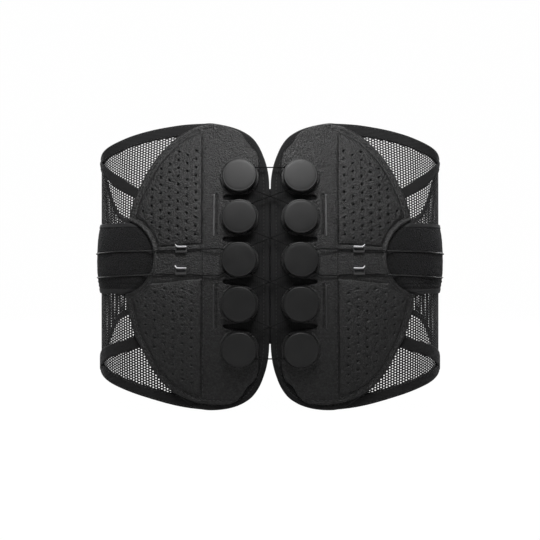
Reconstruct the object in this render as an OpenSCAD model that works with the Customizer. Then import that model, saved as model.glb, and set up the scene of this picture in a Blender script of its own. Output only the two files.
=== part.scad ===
// Lumbar back brace: two rigid-backed halves drawn together by two cords that lace
// over five pulley stations on each half, mesh wings that run round the waist and
// front flaps that overlap.
// The back faces -Y, the front closure faces +Y, +Z is up.
// Most shapes lie on one shell. A point of the shell is (s, z, d):
// s is the distance round the waist from the back centre line, z the height and
// d the distance outward from the body side of the base panels.
// Every "side" module draws the +X (right) half; the -X (left) half is its mirror image.

/* [Back panels] */
// Height of the two base panels
panel_h = 249.5; // [245:0.5:254]
// Height at which the back is most prominent
lean_z = -40; // [-50:1:-30]
// Radius of the forward lean of the back, seen from the side
lean_r = 460; // [420:10:600]
// Thickness of the padded base panel
base_t = 3.5; // [3:0.1:3.5]
// Thickness of the leather cover
cover_t = 2.0; // [1.6:0.1:2]

/* [Waist] */
// Radius of the flat back
back_r = 420; // [420:1:440]
// Radius of the corners between back and sides
corner_r = 55; // [54:1:56]
// Radius of the front half
front_r = 153; // [152:1:154]
// Half of the brace's width
half_w = 152; // [151:1:153]

/* [Pulleys] */
// Distance of the pulley axes from the back centre line, along the surface
pulley_s = 25.5; // [25:0.1:26]
// Outer radius of a pulley cap
cap_r = 14.5; // [14.3:0.1:14.7]
// Height of a pulley cap above its plate's underside
cap_h = 6.4; // [6.4:0.1:7.2]
// Radius at which the cord runs in a sheave
groove_r = 7.8; // [7.6:0.1:8]
// Radius of the post that a sheave turns on
post_r = 3; // [2.8:0.1:3.2]
// Radial running clearance between post and sheave
run_gap = 0.05; // [0.03:0.01:0.08]
// Radius of the cord
cord_r = 0.5; // [0.4:0.05:0.5]

/* [Straps and flaps] */
// Height of the side strap
strap_h = 62; // [58:1:63]
// How far each front flap reaches past the front centre line
flap_past = 25; // [15:1:25]
// Inner radius of the grommet in each pull handle
grommet_r = 10; // [9:0.5:10.5]

/* [Hidden] */
$fn = 64;
// The outline tables are drawn for a panel 249.5 high
z_scale = panel_h / 249.5;

// ---- the shell: back, corner and front arcs that meet tangentially ----
corner_x = half_w - corner_r;
// Headings at which the corner arc starts and ends, 0 facing -Y and 90 facing +X
heading_1 = asin(corner_x / (back_r - corner_r));
heading_2 = 180 - asin(corner_x / (front_r - corner_r));
back_y = -103.5;
back_cy = back_y + back_r;
corner_cy = back_cy - (back_r - corner_r) * cos(heading_1);
front_cy = corner_cy + (front_r - corner_r) * cos(heading_2);
// Distances at which the back, corner and front arcs end
s_1 = back_r * heading_1 * PI / 180;
s_2 = s_1 + corner_r * (heading_2 - heading_1) * PI / 180;
s_3 = s_2 + front_r * (180 - heading_2) * PI / 180;

function heading(s) = s < s_1 ? s / back_r * 180 / PI
    : s < s_2 ? heading_1 + (s - s_1) / corner_r * 180 / PI
    : heading_2 + (s - s_2) / front_r * 180 / PI;
// Smooth step from 0 to 1
function ease(t) = let(u = min(1, max(0, t))) u * u * (3 - 2 * u);
// The forward lean is full on the back and fades out round the corner
function lean_weight(s) = 1 - ease((heading(s) - heading_1) / (90 - heading_1));
function lean(s, z) = lean_weight(s) * (z - lean_z) * (z - lean_z) / (2 * lean_r);
function tilt(s, z) = atan(lean_weight(s) * (z - lean_z) / lean_r);
function at(s, z, d) =
    let(angle = heading(s),
        arc = s < s_1 ? [back_r, 0, back_cy]
            : s < s_2 ? [corner_r, corner_x, corner_cy]
            : [front_r, 0, front_cy],
        r = arc[0] + d)
    [arc[1] + r * sin(angle), arc[2] - r * cos(angle) + lean(s, z), z];

// Evenly spaced values from one end to the other, both included
function steps(from, to, count) = [for (i = [0:count]) from + (to - from) * i / count];
// An edge or depth is given as a number or as a function of position
function value(profile, x) = is_num(profile) ? profile : profile(x);
function quad(a, b, c, d) = [[a, b, c], [a, c, d]];
function unit(v) = v / norm(v);

// Puts a shape on the shell, its own +Z pointing outward and its +Y up
module seat(s, z, d)
    translate(at(s, z, d)) rotate([90 - tilt(s, z), 0, heading(s)]) children();

// A curved sheet: grid[i][j] is [s, z, inner d, outer d] of point i along s, j along z
module sheet(grid) {
    last_i = len(grid) - 1;
    last_j = len(grid[0]) - 1;
    column = last_j + 1;
    outer = (last_i + 1) * column; // index of the first outer point
    faces_in_out = [for (i = [0:last_i - 1]) for (j = [0:last_j - 1])
        let(a = i * column + j, b = a + column, c = outer + a, d = outer + b)
        each concat(quad(a, b, b + 1, a + 1), quad(c, c + 1, d + 1, d))];
    faces_low_high = [for (i = [0:last_i - 1])
        let(a = i * column, b = a + column, c = a + last_j, d = b + last_j)
        each concat(quad(a, outer + a, outer + b, b), quad(c, d, outer + d, outer + c))];
    faces_ends = [for (j = [0:last_j - 1])
        let(a = j, b = j + 1, c = last_i * column + j, d = c + 1)
        each concat(quad(a, b, outer + b, outer + a), quad(c, outer + c, outer + d, d))];
    polyhedron(
        points = [for (depth = [2, 3]) for (line = grid) for (p = line) at(p[0], p[1], p[depth])],
        faces = concat(faces_in_out, faces_low_high, faces_ends));
}
// A sheet made of rows at the heights zs, each from s_in to s_out
module rows(zs, s_in, s_out, cells, d_in, d_out)
    sheet([for (t = [0:cells]) [for (z = zs) let(a = value(s_in, z), b = value(s_out, z))
        [a + (b - a) * t / cells, z, d_in, d_out]]]);
// A sheet made of columns at the distances ss, each from z_low to z_high
module columns(ss, z_low, z_high, cells, d_in, d_out)
    sheet([for (s = ss) let(a = value(z_low, s), b = value(z_high, s))
        [for (t = steps(0, 1, cells)) [s, a + (b - a) * t, value(d_in, s), value(d_out, s)]]]);

// A cord along points; ref is a direction the cord never runs in
cord_sides = 8;
module cord(path, ref = [0, -1, 0]) {
    last = len(path) - 1;
    rings = [for (i = [0:last])
        let(along = unit(path[min(i + 1, last)] - path[max(i - 1, 0)]),
            u = unit(cross(along, ref)), v = cross(along, u))
        for (j = [0:cord_sides - 1]) let(angle = 360 * j / cord_sides)
        path[i] + cord_r * (cos(angle) * u + sin(angle) * v)];
    sides = [for (i = [0:last - 1]) for (j = [0:cord_sides - 1])
        let(a = i * cord_sides + j, b = i * cord_sides + (j + 1) % cord_sides)
        each quad(a, b, b + cord_sides, a + cord_sides)];
    start = [for (j = [cord_sides - 1:-1:0]) j];
    end = [for (j = [0:cord_sides - 1]) last * cord_sides + j];
    polyhedron(points = rings, faces = concat(sides, [start], [end]));
}

// ---- outlines of the back half; tables are [z, s] ----
function edge(table, z) = lookup(z / z_scale, table);
panel_bottom = -123.3 * z_scale;
panel_top = 126.2 * z_scale;
inner_edge_pts = [[-123.3, 50], [-122.5, 42], [-121.3, 34], [-118.3, 25.3], [-113, 16.8],
    [-108, 12.5], [-101, 8.3], [-89, 4], [-80, 2], [-70, 0.8], [73.5, 0.8], [82, 2], [90.4, 4],
    [102, 8.5], [109.3, 12.8], [114, 17.2], [119.4, 26], [122.6, 35], [124.6, 43.5], [126.2, 52]];
// Outer edge that panel and cover share, down to arc_low
arc_edge_pts = [[-118.8, 50.7], [-117.7, 59.3], [-114.8, 68], [-110.9, 77.3], [-105, 87.3],
    [-96, 95.9], [-85.6, 103], [-70, 111], [-60, 116.5], [-38.5, 122.5], [-26, 123.5], [39, 123],
    [50, 121], [60, 118], [68.7, 114.3], [83.4, 107], [97, 98.2], [104.8, 90.4], [114.5, 80.3],
    [118.3, 73.2], [122, 65.3], [124.6, 56.6]];
arc_low = -110.9;
// Outer edge of the panel below arc_low
base_low_pts = [[-123.3, 57], [-121, 65], [-117, 71], [-110.9, 77.3]];
cover_inner_pts = [[-118.8, 44], [-117.5, 34], [-115, 28.5], [-110, 23.4], [-105.4, 21],
    [-102.4, 19.2], [-98, 13.7], [-94.6, 11.6], [-88, 9.9], [85, 9.4], [92, 9.6], [98.2, 11],
    [103.6, 15.3], [108.6, 19.6], [112.3, 21.3], [116, 24.5], [119.5, 30], [122, 36.5], [124, 42],
    [125.2, 50]];
inner_edge = function(z) edge(inner_edge_pts, z);
base_edge = function(z) edge(z / z_scale > arc_low ? arc_edge_pts : base_low_pts, z);

// Round cut in the cover's outer edge, where the side strap leaves
cut_s = 133.5;
cut_z = 8;
cut_r = 33.2;
cut_edge = function(z) abs(z - cut_z) < cut_r
    ? cut_s - sqrt(cut_r * cut_r - (z - cut_z) * (z - cut_z)) : cut_s;

// Pulley stations and the slots in the cover between them, from the top down
station_z = [76.9, 41.8, 5.5, -31.9, -70.1] * z_scale;
slot_z = [59.2, 23.1, -13, -50.8] * z_scale;
slot_half = 2;
slot_end_s = 40;
function in_slot(z) = len([for (slot = slot_z) if (abs(z - slot) < slot_half) slot]) > 0;
cover_inner = function(z) in_slot(z) ? slot_end_s : edge(cover_inner_pts, z);
cover_outer = function(z) min(edge(arc_edge_pts, z), cut_edge(z));

// ---- wing outlines; tables are [s, z] ----
wing_top_pts = [[54, 126], [70.5, 125.6], [79.5, 125], [88.7, 123.7], [98, 122.4], [107, 120.8],
    [116.5, 118.6], [126, 115.9], [136.7, 112], [150, 107.8], [176, 99.5], [184, 95], [192, 87],
    [205, 71], [218, 56], [230, 48], [245, 46], [450, 46]];
wing_bottom_pts = [[54, -123.2], [68.7, -122], [77.5, -120.7], [86.4, -119], [95.4, -116.8],
    [104.5, -114.4], [113.6, -112], [123, -109.2], [133.7, -106], [147, -102.5], [162.7, -98],
    [176, -94.5], [184, -91], [192, -84], [205, -69], [218, -55], [230, -48], [245, -46],
    [450, -46]];
wing_top = function(s) lookup(s, wing_top_pts) * z_scale;
wing_bottom = function(s) lookup(s, wing_bottom_pts) * z_scale;

// ---- back half ----
module side_base_panel() color("#1b1b1d")
    rows(steps(panel_bottom, panel_top, 27), inner_edge, base_edge, 16, 0, base_t);

cover_d = base_t + 0.4;
cover_bottom = -118.6 * z_scale;
cover_top = 125 * z_scale;
// Rows stop just outside and just inside each slot, so that its ends are steep
outside_slot = slot_half + 0.3;
inside_slot = slot_half - 0.1;
cover_zs = concat(steps(cover_bottom, slot_z[3] - outside_slot, 10),
    [for (i = [3:-1:0]) each concat(
        steps(slot_z[i] - inside_slot, slot_z[i] + inside_slot, 1),
        i > 0 ? steps(slot_z[i] + outside_slot, slot_z[i - 1] - outside_slot, 6)
            : steps(slot_z[i] + outside_slot, cover_top, 10))]);
module side_cover() color("#252527")
    rows(cover_zs, cover_inner, cover_outer, 14, cover_d, cover_d + cover_t);

// Foam pad on the wearer's side, with rounded ends
pad_half_h = 88;
pad_round_h = 90;
function pad_round(z, power) = 1 - sqrt(1 - pow(abs(z) / pad_round_h, power));
module side_lumbar_pad() color("#202022")
    rows(steps(-pad_half_h, pad_half_h, 12), function(z) 14 + 20 * pad_round(z, 4),
        function(z) 100 - 46 * pad_round(z, 3), 8, -9, -2.3);

// Two flat stiffening stays on the wearer's side of the panel, as [inner s, outer s]
stays = [[24, 34], [66, 76]];
stay_half_h = 98;
module side_back_stays() color("#8d9094") for (stay = stays)
    rows(steps(-stay_half_h, stay_half_h, 12), stay[0], stay[1], 2, -1.9, -0.4);

// ---- pulleys: heights are above the plate's underside ----
plate_d = cover_d + cover_t + 0.2;
plate_t = 0.7;
// [bottom, top] of the sheaves; the middle station has two, one over the other
single_sheave = [1.15, 4.05];
outer_sheave = [2.65, 4.05];
inner_sheave = [1.15, 2.55];
rim_r = groove_r + 1.7;
function middle(range) = (range[0] + range[1]) / 2;

module station(i) seat(pulley_s, station_z[i], plate_d) children();
module side_pulley_plates() color("#141415") for (i = [0:4]) station(i) difference() {
    union() {
        cylinder(r = cap_r + 1.1, h = plate_t);
        cylinder(r = post_r, h = 4.1);
    }
    translate([0, 0, 0.6]) cylinder(r = 1.25, h = 5, $fn = 32);
}

cap_bottom = 1.05;
cap_ceiling = 5.2;
cap_wall = 1.3;
// Opening in the cap wall that lets the cord through, starting at x
module cap_window(x) translate([x, -12.7, 1]) cube([13, 25.4, 3.3]);
module cap(i) difference() {
    rotate_extrude() polygon([[0, cap_ceiling], [cap_r - cap_wall, cap_ceiling],
        [cap_r - cap_wall, cap_bottom], [cap_r, cap_bottom], [cap_r, cap_h - 1],
        [cap_r - 0.3, cap_h - 0.3], [cap_r - 1, cap_h], [0, cap_h]]);
    cap_window(-16);
    if (i == 2) cap_window(3);
}
module side_pulley_caps() color("#2b2b2d") for (i = [0:4]) station(i) cap(i);

module side_sheave_screws() color("#9a9da1") for (i = [0:4]) station(i) difference() {
    union() {
        translate([0, 0, plate_t]) cylinder(r = 1.2, h = 3.6, $fn = 32);
        translate([0, 0, 4.15]) cylinder(r = 3.6, h = 0.85);
    }
    translate([0, 0, 4.5]) cylinder(r = 1.1, h = 1, $fn = 6);
}

// A grooved sheave over a [bottom, top] range
module sheave(range) {
    low = range[0];
    high = range[1];
    mid = middle(range);
    bore_r = post_r + run_gap;
    throat = cord_r + 0.06;
    mouth = (high - low) / 2 - 0.08;
    throat_r = groove_r - 0.15;
    floor_r = groove_r - throat - 0.08;
    rotate_extrude() polygon([[bore_r, low], [rim_r, low], [rim_r, mid - mouth],
        [throat_r, mid - throat], [floor_r, mid - throat * 0.6], [floor_r, mid + throat * 0.6],
        [throat_r, mid + throat], [rim_r, mid + mouth], [rim_r, high], [bore_r, high]]);
}
module side_sheave(i) color("#c9cbce") station(i) sheave(single_sheave);
module side_sheave_3_outer() color("#c9cbce") station(2) sheave(outer_sheave);
module side_sheave_3_inner() color("#c9cbce") station(2) sheave(inner_sheave);

// ---- cord path on the back half ----
guide_s = 75;
guide_z = [15.1, -3.8];
guide_cord_z = [13.9, -5.6];
guide_cord_h = 1.15;
module side_cord_guides() color("#1a1a1b") for (i = [0:1])
    seat(guide_s, guide_z[i], plate_d) difference() {
        translate([-5, -3.4, 0]) cube([10, 6.8, 2.4]);
        translate([-6, guide_cord_z[i] - guide_z[i], guide_cord_h]) rotate([0, 90, 0])
            cylinder(r = 0.95, h = 12, $fn = 32);
    }

// In the functions below, end is 1 for the upper side of a sheave and -1 for the lower side.
// Point near a station: u toward the side, v up, h above the plate's underside
function near(i, u, v, h) =
    let(a = heading(pulley_s), t = tilt(pulley_s, station_z[i]))
    at(pulley_s, station_z[i], plate_d) + u * [cos(a), sin(a), 0]
        + v * [-sin(a) * sin(t), cos(a) * sin(t), cos(t)]
        + h * [sin(a) * cos(t), -cos(a) * cos(t), sin(t)];
function wrap(i, from, to, h, count) =
    [for (a = steps(from, to, count)) near(i, groove_r * cos(a), groove_r * sin(a), h)];
function run_h(i, end) = middle(i != 2 ? single_sheave : end > 0 ? outer_sheave : inner_sheave);
// The top and bottom ends of the lacing run straight across instead of to the next station
function is_last(i, end) = i - end < 0 || i - end > 4;
function mirrored(p) = [-p[0], p[1], p[2]];
// Where the cord leaving a sheave meets the lacing, on its way to the other half
lacing_x = 12;
function lace_end(i, end) =
    let(last = is_last(i, end),
        other = last ? i : i - end,
        other_end = last ? end : -end,
        a = near(i, 0, end * groove_r, run_h(i, end)),
        b = mirrored(near(other, 0, other_end * groove_r, run_h(other, other_end))))
    a + (b - a) * ((a[0] - lacing_x) / (a[0] - b[0]));
// Where a cord clears the rim of its sheave
function clear_rim(i, end) = is_last(i, end) ? near(i, -6, end * groove_r, run_h(i, end))
    : near(i, -5, end * rim_r, run_h(i, end));

// A branch from the side, through its guide, to the middle station
branch_s = [129.6, 121, 113, 104, 95, 86];
module branch_cord(end, side_z, hole_z, mid_z, mid_h, near_z, wrap_from)
    cord(concat([for (s = branch_s) at(s, lookup(s, side_z), plate_d + guide_cord_h)],
        [at(guide_s, hole_z, plate_d + guide_cord_h), at(60, mid_z, plate_d + mid_h),
            at(44, near_z, plate_d + run_h(2, end) + 0.41)],
        wrap(2, wrap_from, end * 96, run_h(2, end), 3),
        [clear_rim(2, end), lace_end(2, end)]));
// The turn round a single sheave
module turn_cord(i)
    cord(concat([lace_end(i, 1), clear_rim(i, 1)],
        wrap(i, is_last(i, 1) ? 90 : 82, is_last(i, -1) ? -90 : -82, run_h(i, 1), 10),
        [clear_rim(i, -1), lace_end(i, -1)]));
module side_back_cords() color("#0f0f10") {
    branch_cord(end = 1, side_z = [[86, 13.8], [129.6, 13.2]], hole_z = guide_cord_z[0],
        mid_z = 14.4, mid_h = 1.5, near_z = 15.2, wrap_from = 70);
    branch_cord(end = -1, side_z = [[86, -6.3], [129.6, -8.2]], hole_z = guide_cord_z[1],
        mid_z = -6.2, mid_h = 1.3, near_z = -7.2, wrap_from = -62);
    for (i = [0, 1, 3, 4]) turn_cord(i);
}

// ---- sewn roots of the wing and the strap, on the back half ----
root_end_s = 130;
mesh_d = [0.6, 1.8];
// Outer edge of the wing root near its top and bottom, as [z, s]
root_top_pts = [[114.4, 130], [118.6, 116.5], [120.8, 107], [122.4, 98], [123.7, 88.7],
    [125, 79.5], [126, 60]];
root_bottom_pts = [[-123.2, 60], [-120.7, 77.5], [-119, 86.4], [-116.8, 95.4], [-114.4, 104.5],
    [-112, 113.6], [-107, 130]];
root_inner = function(z) base_edge(z) + (abs(z) > 100 * z_scale ? 4.1 : 0.9);
root_outer = function(z) edge(z > 0 ? root_top_pts : root_bottom_pts, z);
module side_wing_root() color("#303033")
    rows(steps(-121.3 * z_scale, 124.8 * z_scale, 24), root_inner, root_outer, 4,
        mesh_d[0], mesh_d[1]);

strap_mid = 7;
strap_in = cover_d + 0.2;
strap_out = cover_d + 1.7;
module side_strap_root() color("#1c1c1e")
    rows(steps(strap_mid - strap_h / 2, strap_mid + strap_h / 2, 10),
        function(z) cut_edge(z) + 0.6, root_end_s, 4, strap_in, strap_out);

// ---- wing ----
wing_s = 139;
mesh_end_s = 304;
band_h = 10;
mesh_inset = band_h + 0.4;
function wing_columns(to) = concat(steps(wing_s, s_2, 8), steps(s_2 + (to - s_2) / 14, to, 13));
module side_wing_mesh() color("#37373a")
    columns(wing_columns(mesh_end_s), function(s) wing_bottom(s) + mesh_inset,
        function(s) wing_top(s) - mesh_inset, 8, mesh_d[0], mesh_d[1]);
module side_wing_bands() color("#1f1f21") {
    columns(wing_columns(mesh_end_s), function(s) wing_top(s) - band_h, wing_top, 1, 0.2, 2.2);
    columns(wing_columns(mesh_end_s), wing_bottom, function(s) wing_bottom(s) + band_h, 1,
        0.2, 2.2);
}

// Straps that rise and fall from the panel to the edge bands; edges are [s, z]
module diagonal(low_pts, high_pts)
    columns(steps(wing_s, 176, 6), function(s) lookup(s, low_pts) * z_scale,
        function(s) lookup(s, high_pts) * z_scale, 1, 2.6, 3.3);
module side_wing_diagonals() color("#1f1f21") {
    diagonal([[139, 69.5], [157, 81], [176, 91]], [[139, 82], [152, 91], [163, 96], [176, 97]]);
    diagonal([[139, -78], [158, -85.5], [176, -91]], [[139, -67], [176, -76]]);
}

// The side strap eases down to z = 0 on its way to the front
strap_end_s = 372;
function strap_z(s) = strap_mid * (1 - ease((s - 190) / 90));
module side_side_strap() color("#1c1c1e")
    columns(wing_columns(strap_end_s), function(s) strap_z(s) - strap_h / 2,
        function(s) strap_z(s) + strap_h / 2, 2, strap_in, strap_out);

// Parts that lie on the strap start at on_strap
on_strap = strap_out + 0.15;
// Band that bridges both cords, as [height, rise off the strap]
keeper_pts = [[-20, 0], [-17, 0], [-15, 1.4], [15, 1.4], [17, 0], [20, 0]];
module side_cord_keeper() color("#161617")
    sheet([for (s = steps(198, 207, 2)) [for (p = keeper_pts)
        [s, p[0] + 0.5, on_strap + p[1], on_strap + p[1] + 0.8]]]);

handle_s = 262;
// Cord heights along the wing, as [s, z]
wing_cord_pts = [[[139, 12.6], [190, 11], [262, 10]], [[139, -8.6], [190, -10], [262, -10]]];
module side_wing_cords() color("#0f0f10") for (pts = wing_cord_pts)
    cord([for (s = concat(steps(wing_s, s_2, 7), steps(s_2 + 7, handle_s - 0.6, 7)))
        at(s, lookup(s, pts), on_strap + cord_r)], ref = [0, 0, 1]);

// ---- flaps: the right one keeps to the shell, the left one tucks under it ----
flap_s = mesh_end_s + 0.5;
flap_end_s = s_3 + flap_past;
flap_out = 3.2;
flap_t = 2.6;
module right_flap() color("#1d1d1f")
    columns(steps(flap_s, flap_end_s, 14), wing_bottom, wing_top, 2, flap_out - flap_t, flap_out);
// Outside of the tucked flap and its loop patch: eases from the shell into a flat tongue
tuck_s = 344;
tuck_l = 40;
function flat_d(s) =
    let(angle = (s - s_3) / front_r * 180 / PI, end_angle = flap_past / front_r * 180 / PI)
    (front_r - 0.7) * cos(end_angle) / cos(angle) - front_r;
tuck_d = function(s) s > tuck_s + tuck_l ? flat_d(s)
    : flap_out + (flat_d(s) - flap_out) * ease((s - tuck_s) / tuck_l);
// The flap's own surface drops to make room for the loop patch
left_flap_out = function(s) tuck_d(s) - 0.7 * ease((s - 338) / 16);
module left_flap() color("#1d1d1f")
    columns(steps(flap_s, flap_end_s, 18), wing_bottom, wing_top, 2,
        function(s) left_flap_out(s) - flap_t, left_flap_out);
module left_loop() color("#242427")
    columns(steps(390, flap_end_s - 3, 5), -40, 40, 2, function(s) tuck_d(s) - 0.6, tuck_d);
module right_hook() color("#0d0d0e")
    columns(steps(s_3 + 4, flap_end_s - 1, 3), -38, 38, 2, -0.3, 0.5);

// ---- pull handle, on the front arc ----
handle_l = 73;
handle_half_h = 27;
handle_d = strap_out + 0.9;
grommet_s = 315;
module turn_front(s) translate([0, front_cy, 0]) rotate([0, 0, heading(s) - 90]) children();
// A curved slab from s_from to s_to, symmetric about z = 0
module front_slab(s_from, s_to, d_in, d_out, half_h)
    turn_front(s_from) rotate_extrude(angle = heading(s_to) - heading(s_from))
        translate([front_r + d_in, -half_h]) square([d_out - d_in, 2 * half_h]);
// Puts a shape at z = 0 on the front arc, its own +Z pointing outward
module on_front(s, d)
    turn_front(s) translate([front_r + d, 0, 0]) rotate([0, 90, 0]) children();
module side_handle() color("#171718") difference() {
    front_slab(handle_s, handle_s + handle_l, handle_d, handle_d + 2.6, handle_half_h);
    on_front(grommet_s, handle_d - 3) cylinder(r = grommet_r + 2.6, h = 9);
}
module side_handle_hook() color("#0d0d0e")
    front_slab(handle_s + 5, handle_s + 34, on_strap, strap_out + 0.8, 22);
module side_handle_grommet() color("#2a2a2c") on_front(grommet_s, handle_d) difference() {
    union() {
        translate([0, 0, -0.6]) cylinder(r = grommet_r + 2.5, h = 4.2);
        translate([0, 0, 2.75]) cylinder(r = grommet_r + 4, h = 1.05);
    }
    translate([0, 0, -1]) cylinder(r = grommet_r, h = 6);
}

// ---- centre ----
module centre_elastic() color("#262629")
    columns(steps(-12, 12, 4), -66, 67, 10, -1.9, -0.6);

// A span from a right-hand point to a left-hand one, bowed outward at its middle
module span(right, left, bow) {
    end_gap = [0.2, 0, 0];
    cord([right - end_gap, (right + left) / 2 + [0, -bow, 0], left + end_gap]);
}
module straight_span(i, end) span(lace_end(i, end), mirrored(lace_end(i, end)), 0);
// Two spans that cross between one end of station i and the next station
module crossing(i, end) {
    a = lace_end(i, end);
    b = lace_end(i - end, -end);
    span(a, mirrored(b), 0.65);
    span(b, mirrored(a), -0.65);
}
module upper_lacing() color("#0f0f10") {
    straight_span(0, 1);
    crossing(0, -1);
    crossing(1, -1);
}
module lower_lacing() color("#0f0f10") {
    straight_span(4, -1);
    crossing(4, 1);
    crossing(3, 1);
}

module left_half() mirror([1, 0, 0]) children();

left_half() side_base_panel();  // left_base_panel
left_half() side_cover();  // left_cover
left_half() side_lumbar_pad();  // left_lumbar_pad
left_half() side_back_stays();  // left_back_stays
left_half() side_pulley_plates();  // left_pulley_plates
left_half() side_pulley_caps();  // left_pulley_caps
left_half() side_sheave_screws();  // left_sheave_screws
left_half() side_cord_guides();  // left_cord_guides
left_half() side_wing_root();  // left_wing_root
left_half() side_strap_root();  // left_strap_root
left_half() side_back_cords();  // left_back_cords
left_half() side_sheave(0);  // left_sheave_1
left_half() side_sheave(1);  // left_sheave_2
left_half() side_sheave_3_outer();  // left_sheave_3_outer
left_half() side_sheave_3_inner();  // left_sheave_3_inner
left_half() side_sheave(3);  // left_sheave_4
left_half() side_sheave(4);  // left_sheave_5
left_half() side_wing_mesh();  // left_wing_mesh
left_half() side_wing_bands();  // left_wing_bands
left_half() side_wing_diagonals();  // left_wing_diagonals
left_half() side_side_strap();  // left_side_strap
left_half() side_cord_keeper();  // left_cord_keeper
left_half() side_wing_cords();  // left_wing_cords
left_half() left_flap();  // left_front_flap
left_half() left_loop();  // left_flap_loop
left_half() side_handle();  // left_handle
left_half() side_handle_hook();  // left_handle_hook
left_half() side_handle_grommet();  // left_handle_grommet
side_base_panel();  // right_base_panel
side_cover();  // right_cover
side_lumbar_pad();  // right_lumbar_pad
side_back_stays();  // right_back_stays
side_pulley_plates();  // right_pulley_plates
side_pulley_caps();  // right_pulley_caps
side_sheave_screws();  // right_sheave_screws
side_cord_guides();  // right_cord_guides
side_wing_root();  // right_wing_root
side_strap_root();  // right_strap_root
side_back_cords();  // right_back_cords
side_sheave(0);  // right_sheave_1
side_sheave(1);  // right_sheave_2
side_sheave_3_outer();  // right_sheave_3_outer
side_sheave_3_inner();  // right_sheave_3_inner
side_sheave(3);  // right_sheave_4
side_sheave(4);  // right_sheave_5
side_wing_mesh();  // right_wing_mesh
side_wing_bands();  // right_wing_bands
side_wing_diagonals();  // right_wing_diagonals
side_side_strap();  // right_side_strap
side_cord_keeper();  // right_cord_keeper
side_wing_cords();  // right_wing_cords
right_flap();  // right_front_flap
right_hook();  // right_flap_hook
side_handle();  // right_handle
side_handle_hook();  // right_handle_hook
side_handle_grommet();  // right_handle_grommet
centre_elastic();
upper_lacing();
lower_lacing();
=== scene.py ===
import math

import bmesh
import bpy
import numpy as np
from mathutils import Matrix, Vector
from mathutils.geometry import delaunay_2d_cdt


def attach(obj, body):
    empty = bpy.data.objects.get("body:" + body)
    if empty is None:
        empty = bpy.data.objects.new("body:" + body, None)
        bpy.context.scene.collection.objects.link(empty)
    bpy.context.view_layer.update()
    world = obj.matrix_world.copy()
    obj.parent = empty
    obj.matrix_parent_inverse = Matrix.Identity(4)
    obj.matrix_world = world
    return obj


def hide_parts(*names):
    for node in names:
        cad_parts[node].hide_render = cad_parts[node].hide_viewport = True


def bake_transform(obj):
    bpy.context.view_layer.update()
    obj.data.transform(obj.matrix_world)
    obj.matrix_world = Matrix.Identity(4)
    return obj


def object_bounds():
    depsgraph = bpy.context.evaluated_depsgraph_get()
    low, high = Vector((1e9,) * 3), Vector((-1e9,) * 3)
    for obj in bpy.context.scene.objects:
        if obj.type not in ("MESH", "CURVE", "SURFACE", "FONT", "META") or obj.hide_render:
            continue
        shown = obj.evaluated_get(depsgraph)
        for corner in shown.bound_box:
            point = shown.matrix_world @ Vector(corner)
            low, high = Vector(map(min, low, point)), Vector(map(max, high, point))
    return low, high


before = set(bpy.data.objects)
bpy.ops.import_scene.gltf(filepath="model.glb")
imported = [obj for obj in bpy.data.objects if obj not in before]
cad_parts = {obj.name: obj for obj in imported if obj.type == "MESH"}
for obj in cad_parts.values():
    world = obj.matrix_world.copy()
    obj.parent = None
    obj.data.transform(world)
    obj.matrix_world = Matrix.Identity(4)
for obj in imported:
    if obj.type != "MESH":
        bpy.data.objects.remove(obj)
CAD_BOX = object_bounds()
SIDES = (("left", -1.0), ("right", 1.0))
rng = np.random.default_rng(7)

# ---------------------------------------------------------------- the shell (the CAD's own rule, in mm)
RA, RB, RC, HW = 420.0, 55.0, 153.0, 152.0
CX = HW - RB
P1 = math.asin(CX / (RA - RB))
P2 = math.pi - math.asin(CX / (RC - RB))
CAY = -103.5 + RA
CBY = CAY - (RA - RB) * math.cos(P1)
CCY = CBY + (RC - RB) * math.cos(P2)
S1 = RA * P1
S2 = S1 + RB * (P2 - P1)
S3 = S2 + RC * (math.pi - P2)


def ease(t):
    t = np.clip(t, 0.0, 1.0)
    return t * t * (3 - 2 * t)


def psi(s):
    s = np.asarray(s, float)
    return np.where(s < S1, s / RA, np.where(s < S2, P1 + (s - S1) / RB, P2 + (s - S2) / RC))


def shell(s, z, d, side=1.0):
    """Points in metres of the shell at s round the waist, z up and d outward, in mm."""
    s, z, d = np.broadcast_arrays(np.asarray(s, float), np.asarray(z, float), np.asarray(d, float))
    a = psi(s)
    r = np.where(s < S1, RA, np.where(s < S2, RB, RC)) + d
    cx = np.where(s < S1, 0.0, np.where(s < S2, CX, 0.0))
    cy = np.where(s < S1, CAY, np.where(s < S2, CBY, CCY))
    w = 1 - ease((a - P1) / (math.pi / 2 - P1))
    lean = w * (z + 40.0) ** 2 / 920.0
    return np.stack([side * (cx + r * np.sin(a)), cy - r * np.cos(a) + lean, z], -1) * 0.001


def normal(s, z, side=1.0):
    a = psi(s)
    w = 1 - ease((a - P1) / (math.pi / 2 - P1))
    t = np.arctan(w * (np.asarray(z, float) + 40.0) / 460.0)
    return np.stack([side * np.sin(a) * np.cos(t), -np.cos(a) * np.cos(t), np.sin(t)], -1)


def table(x, rows):
    r = np.array(sorted(rows), float)
    return np.interp(x, r[:, 0], r[:, 1])


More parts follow.
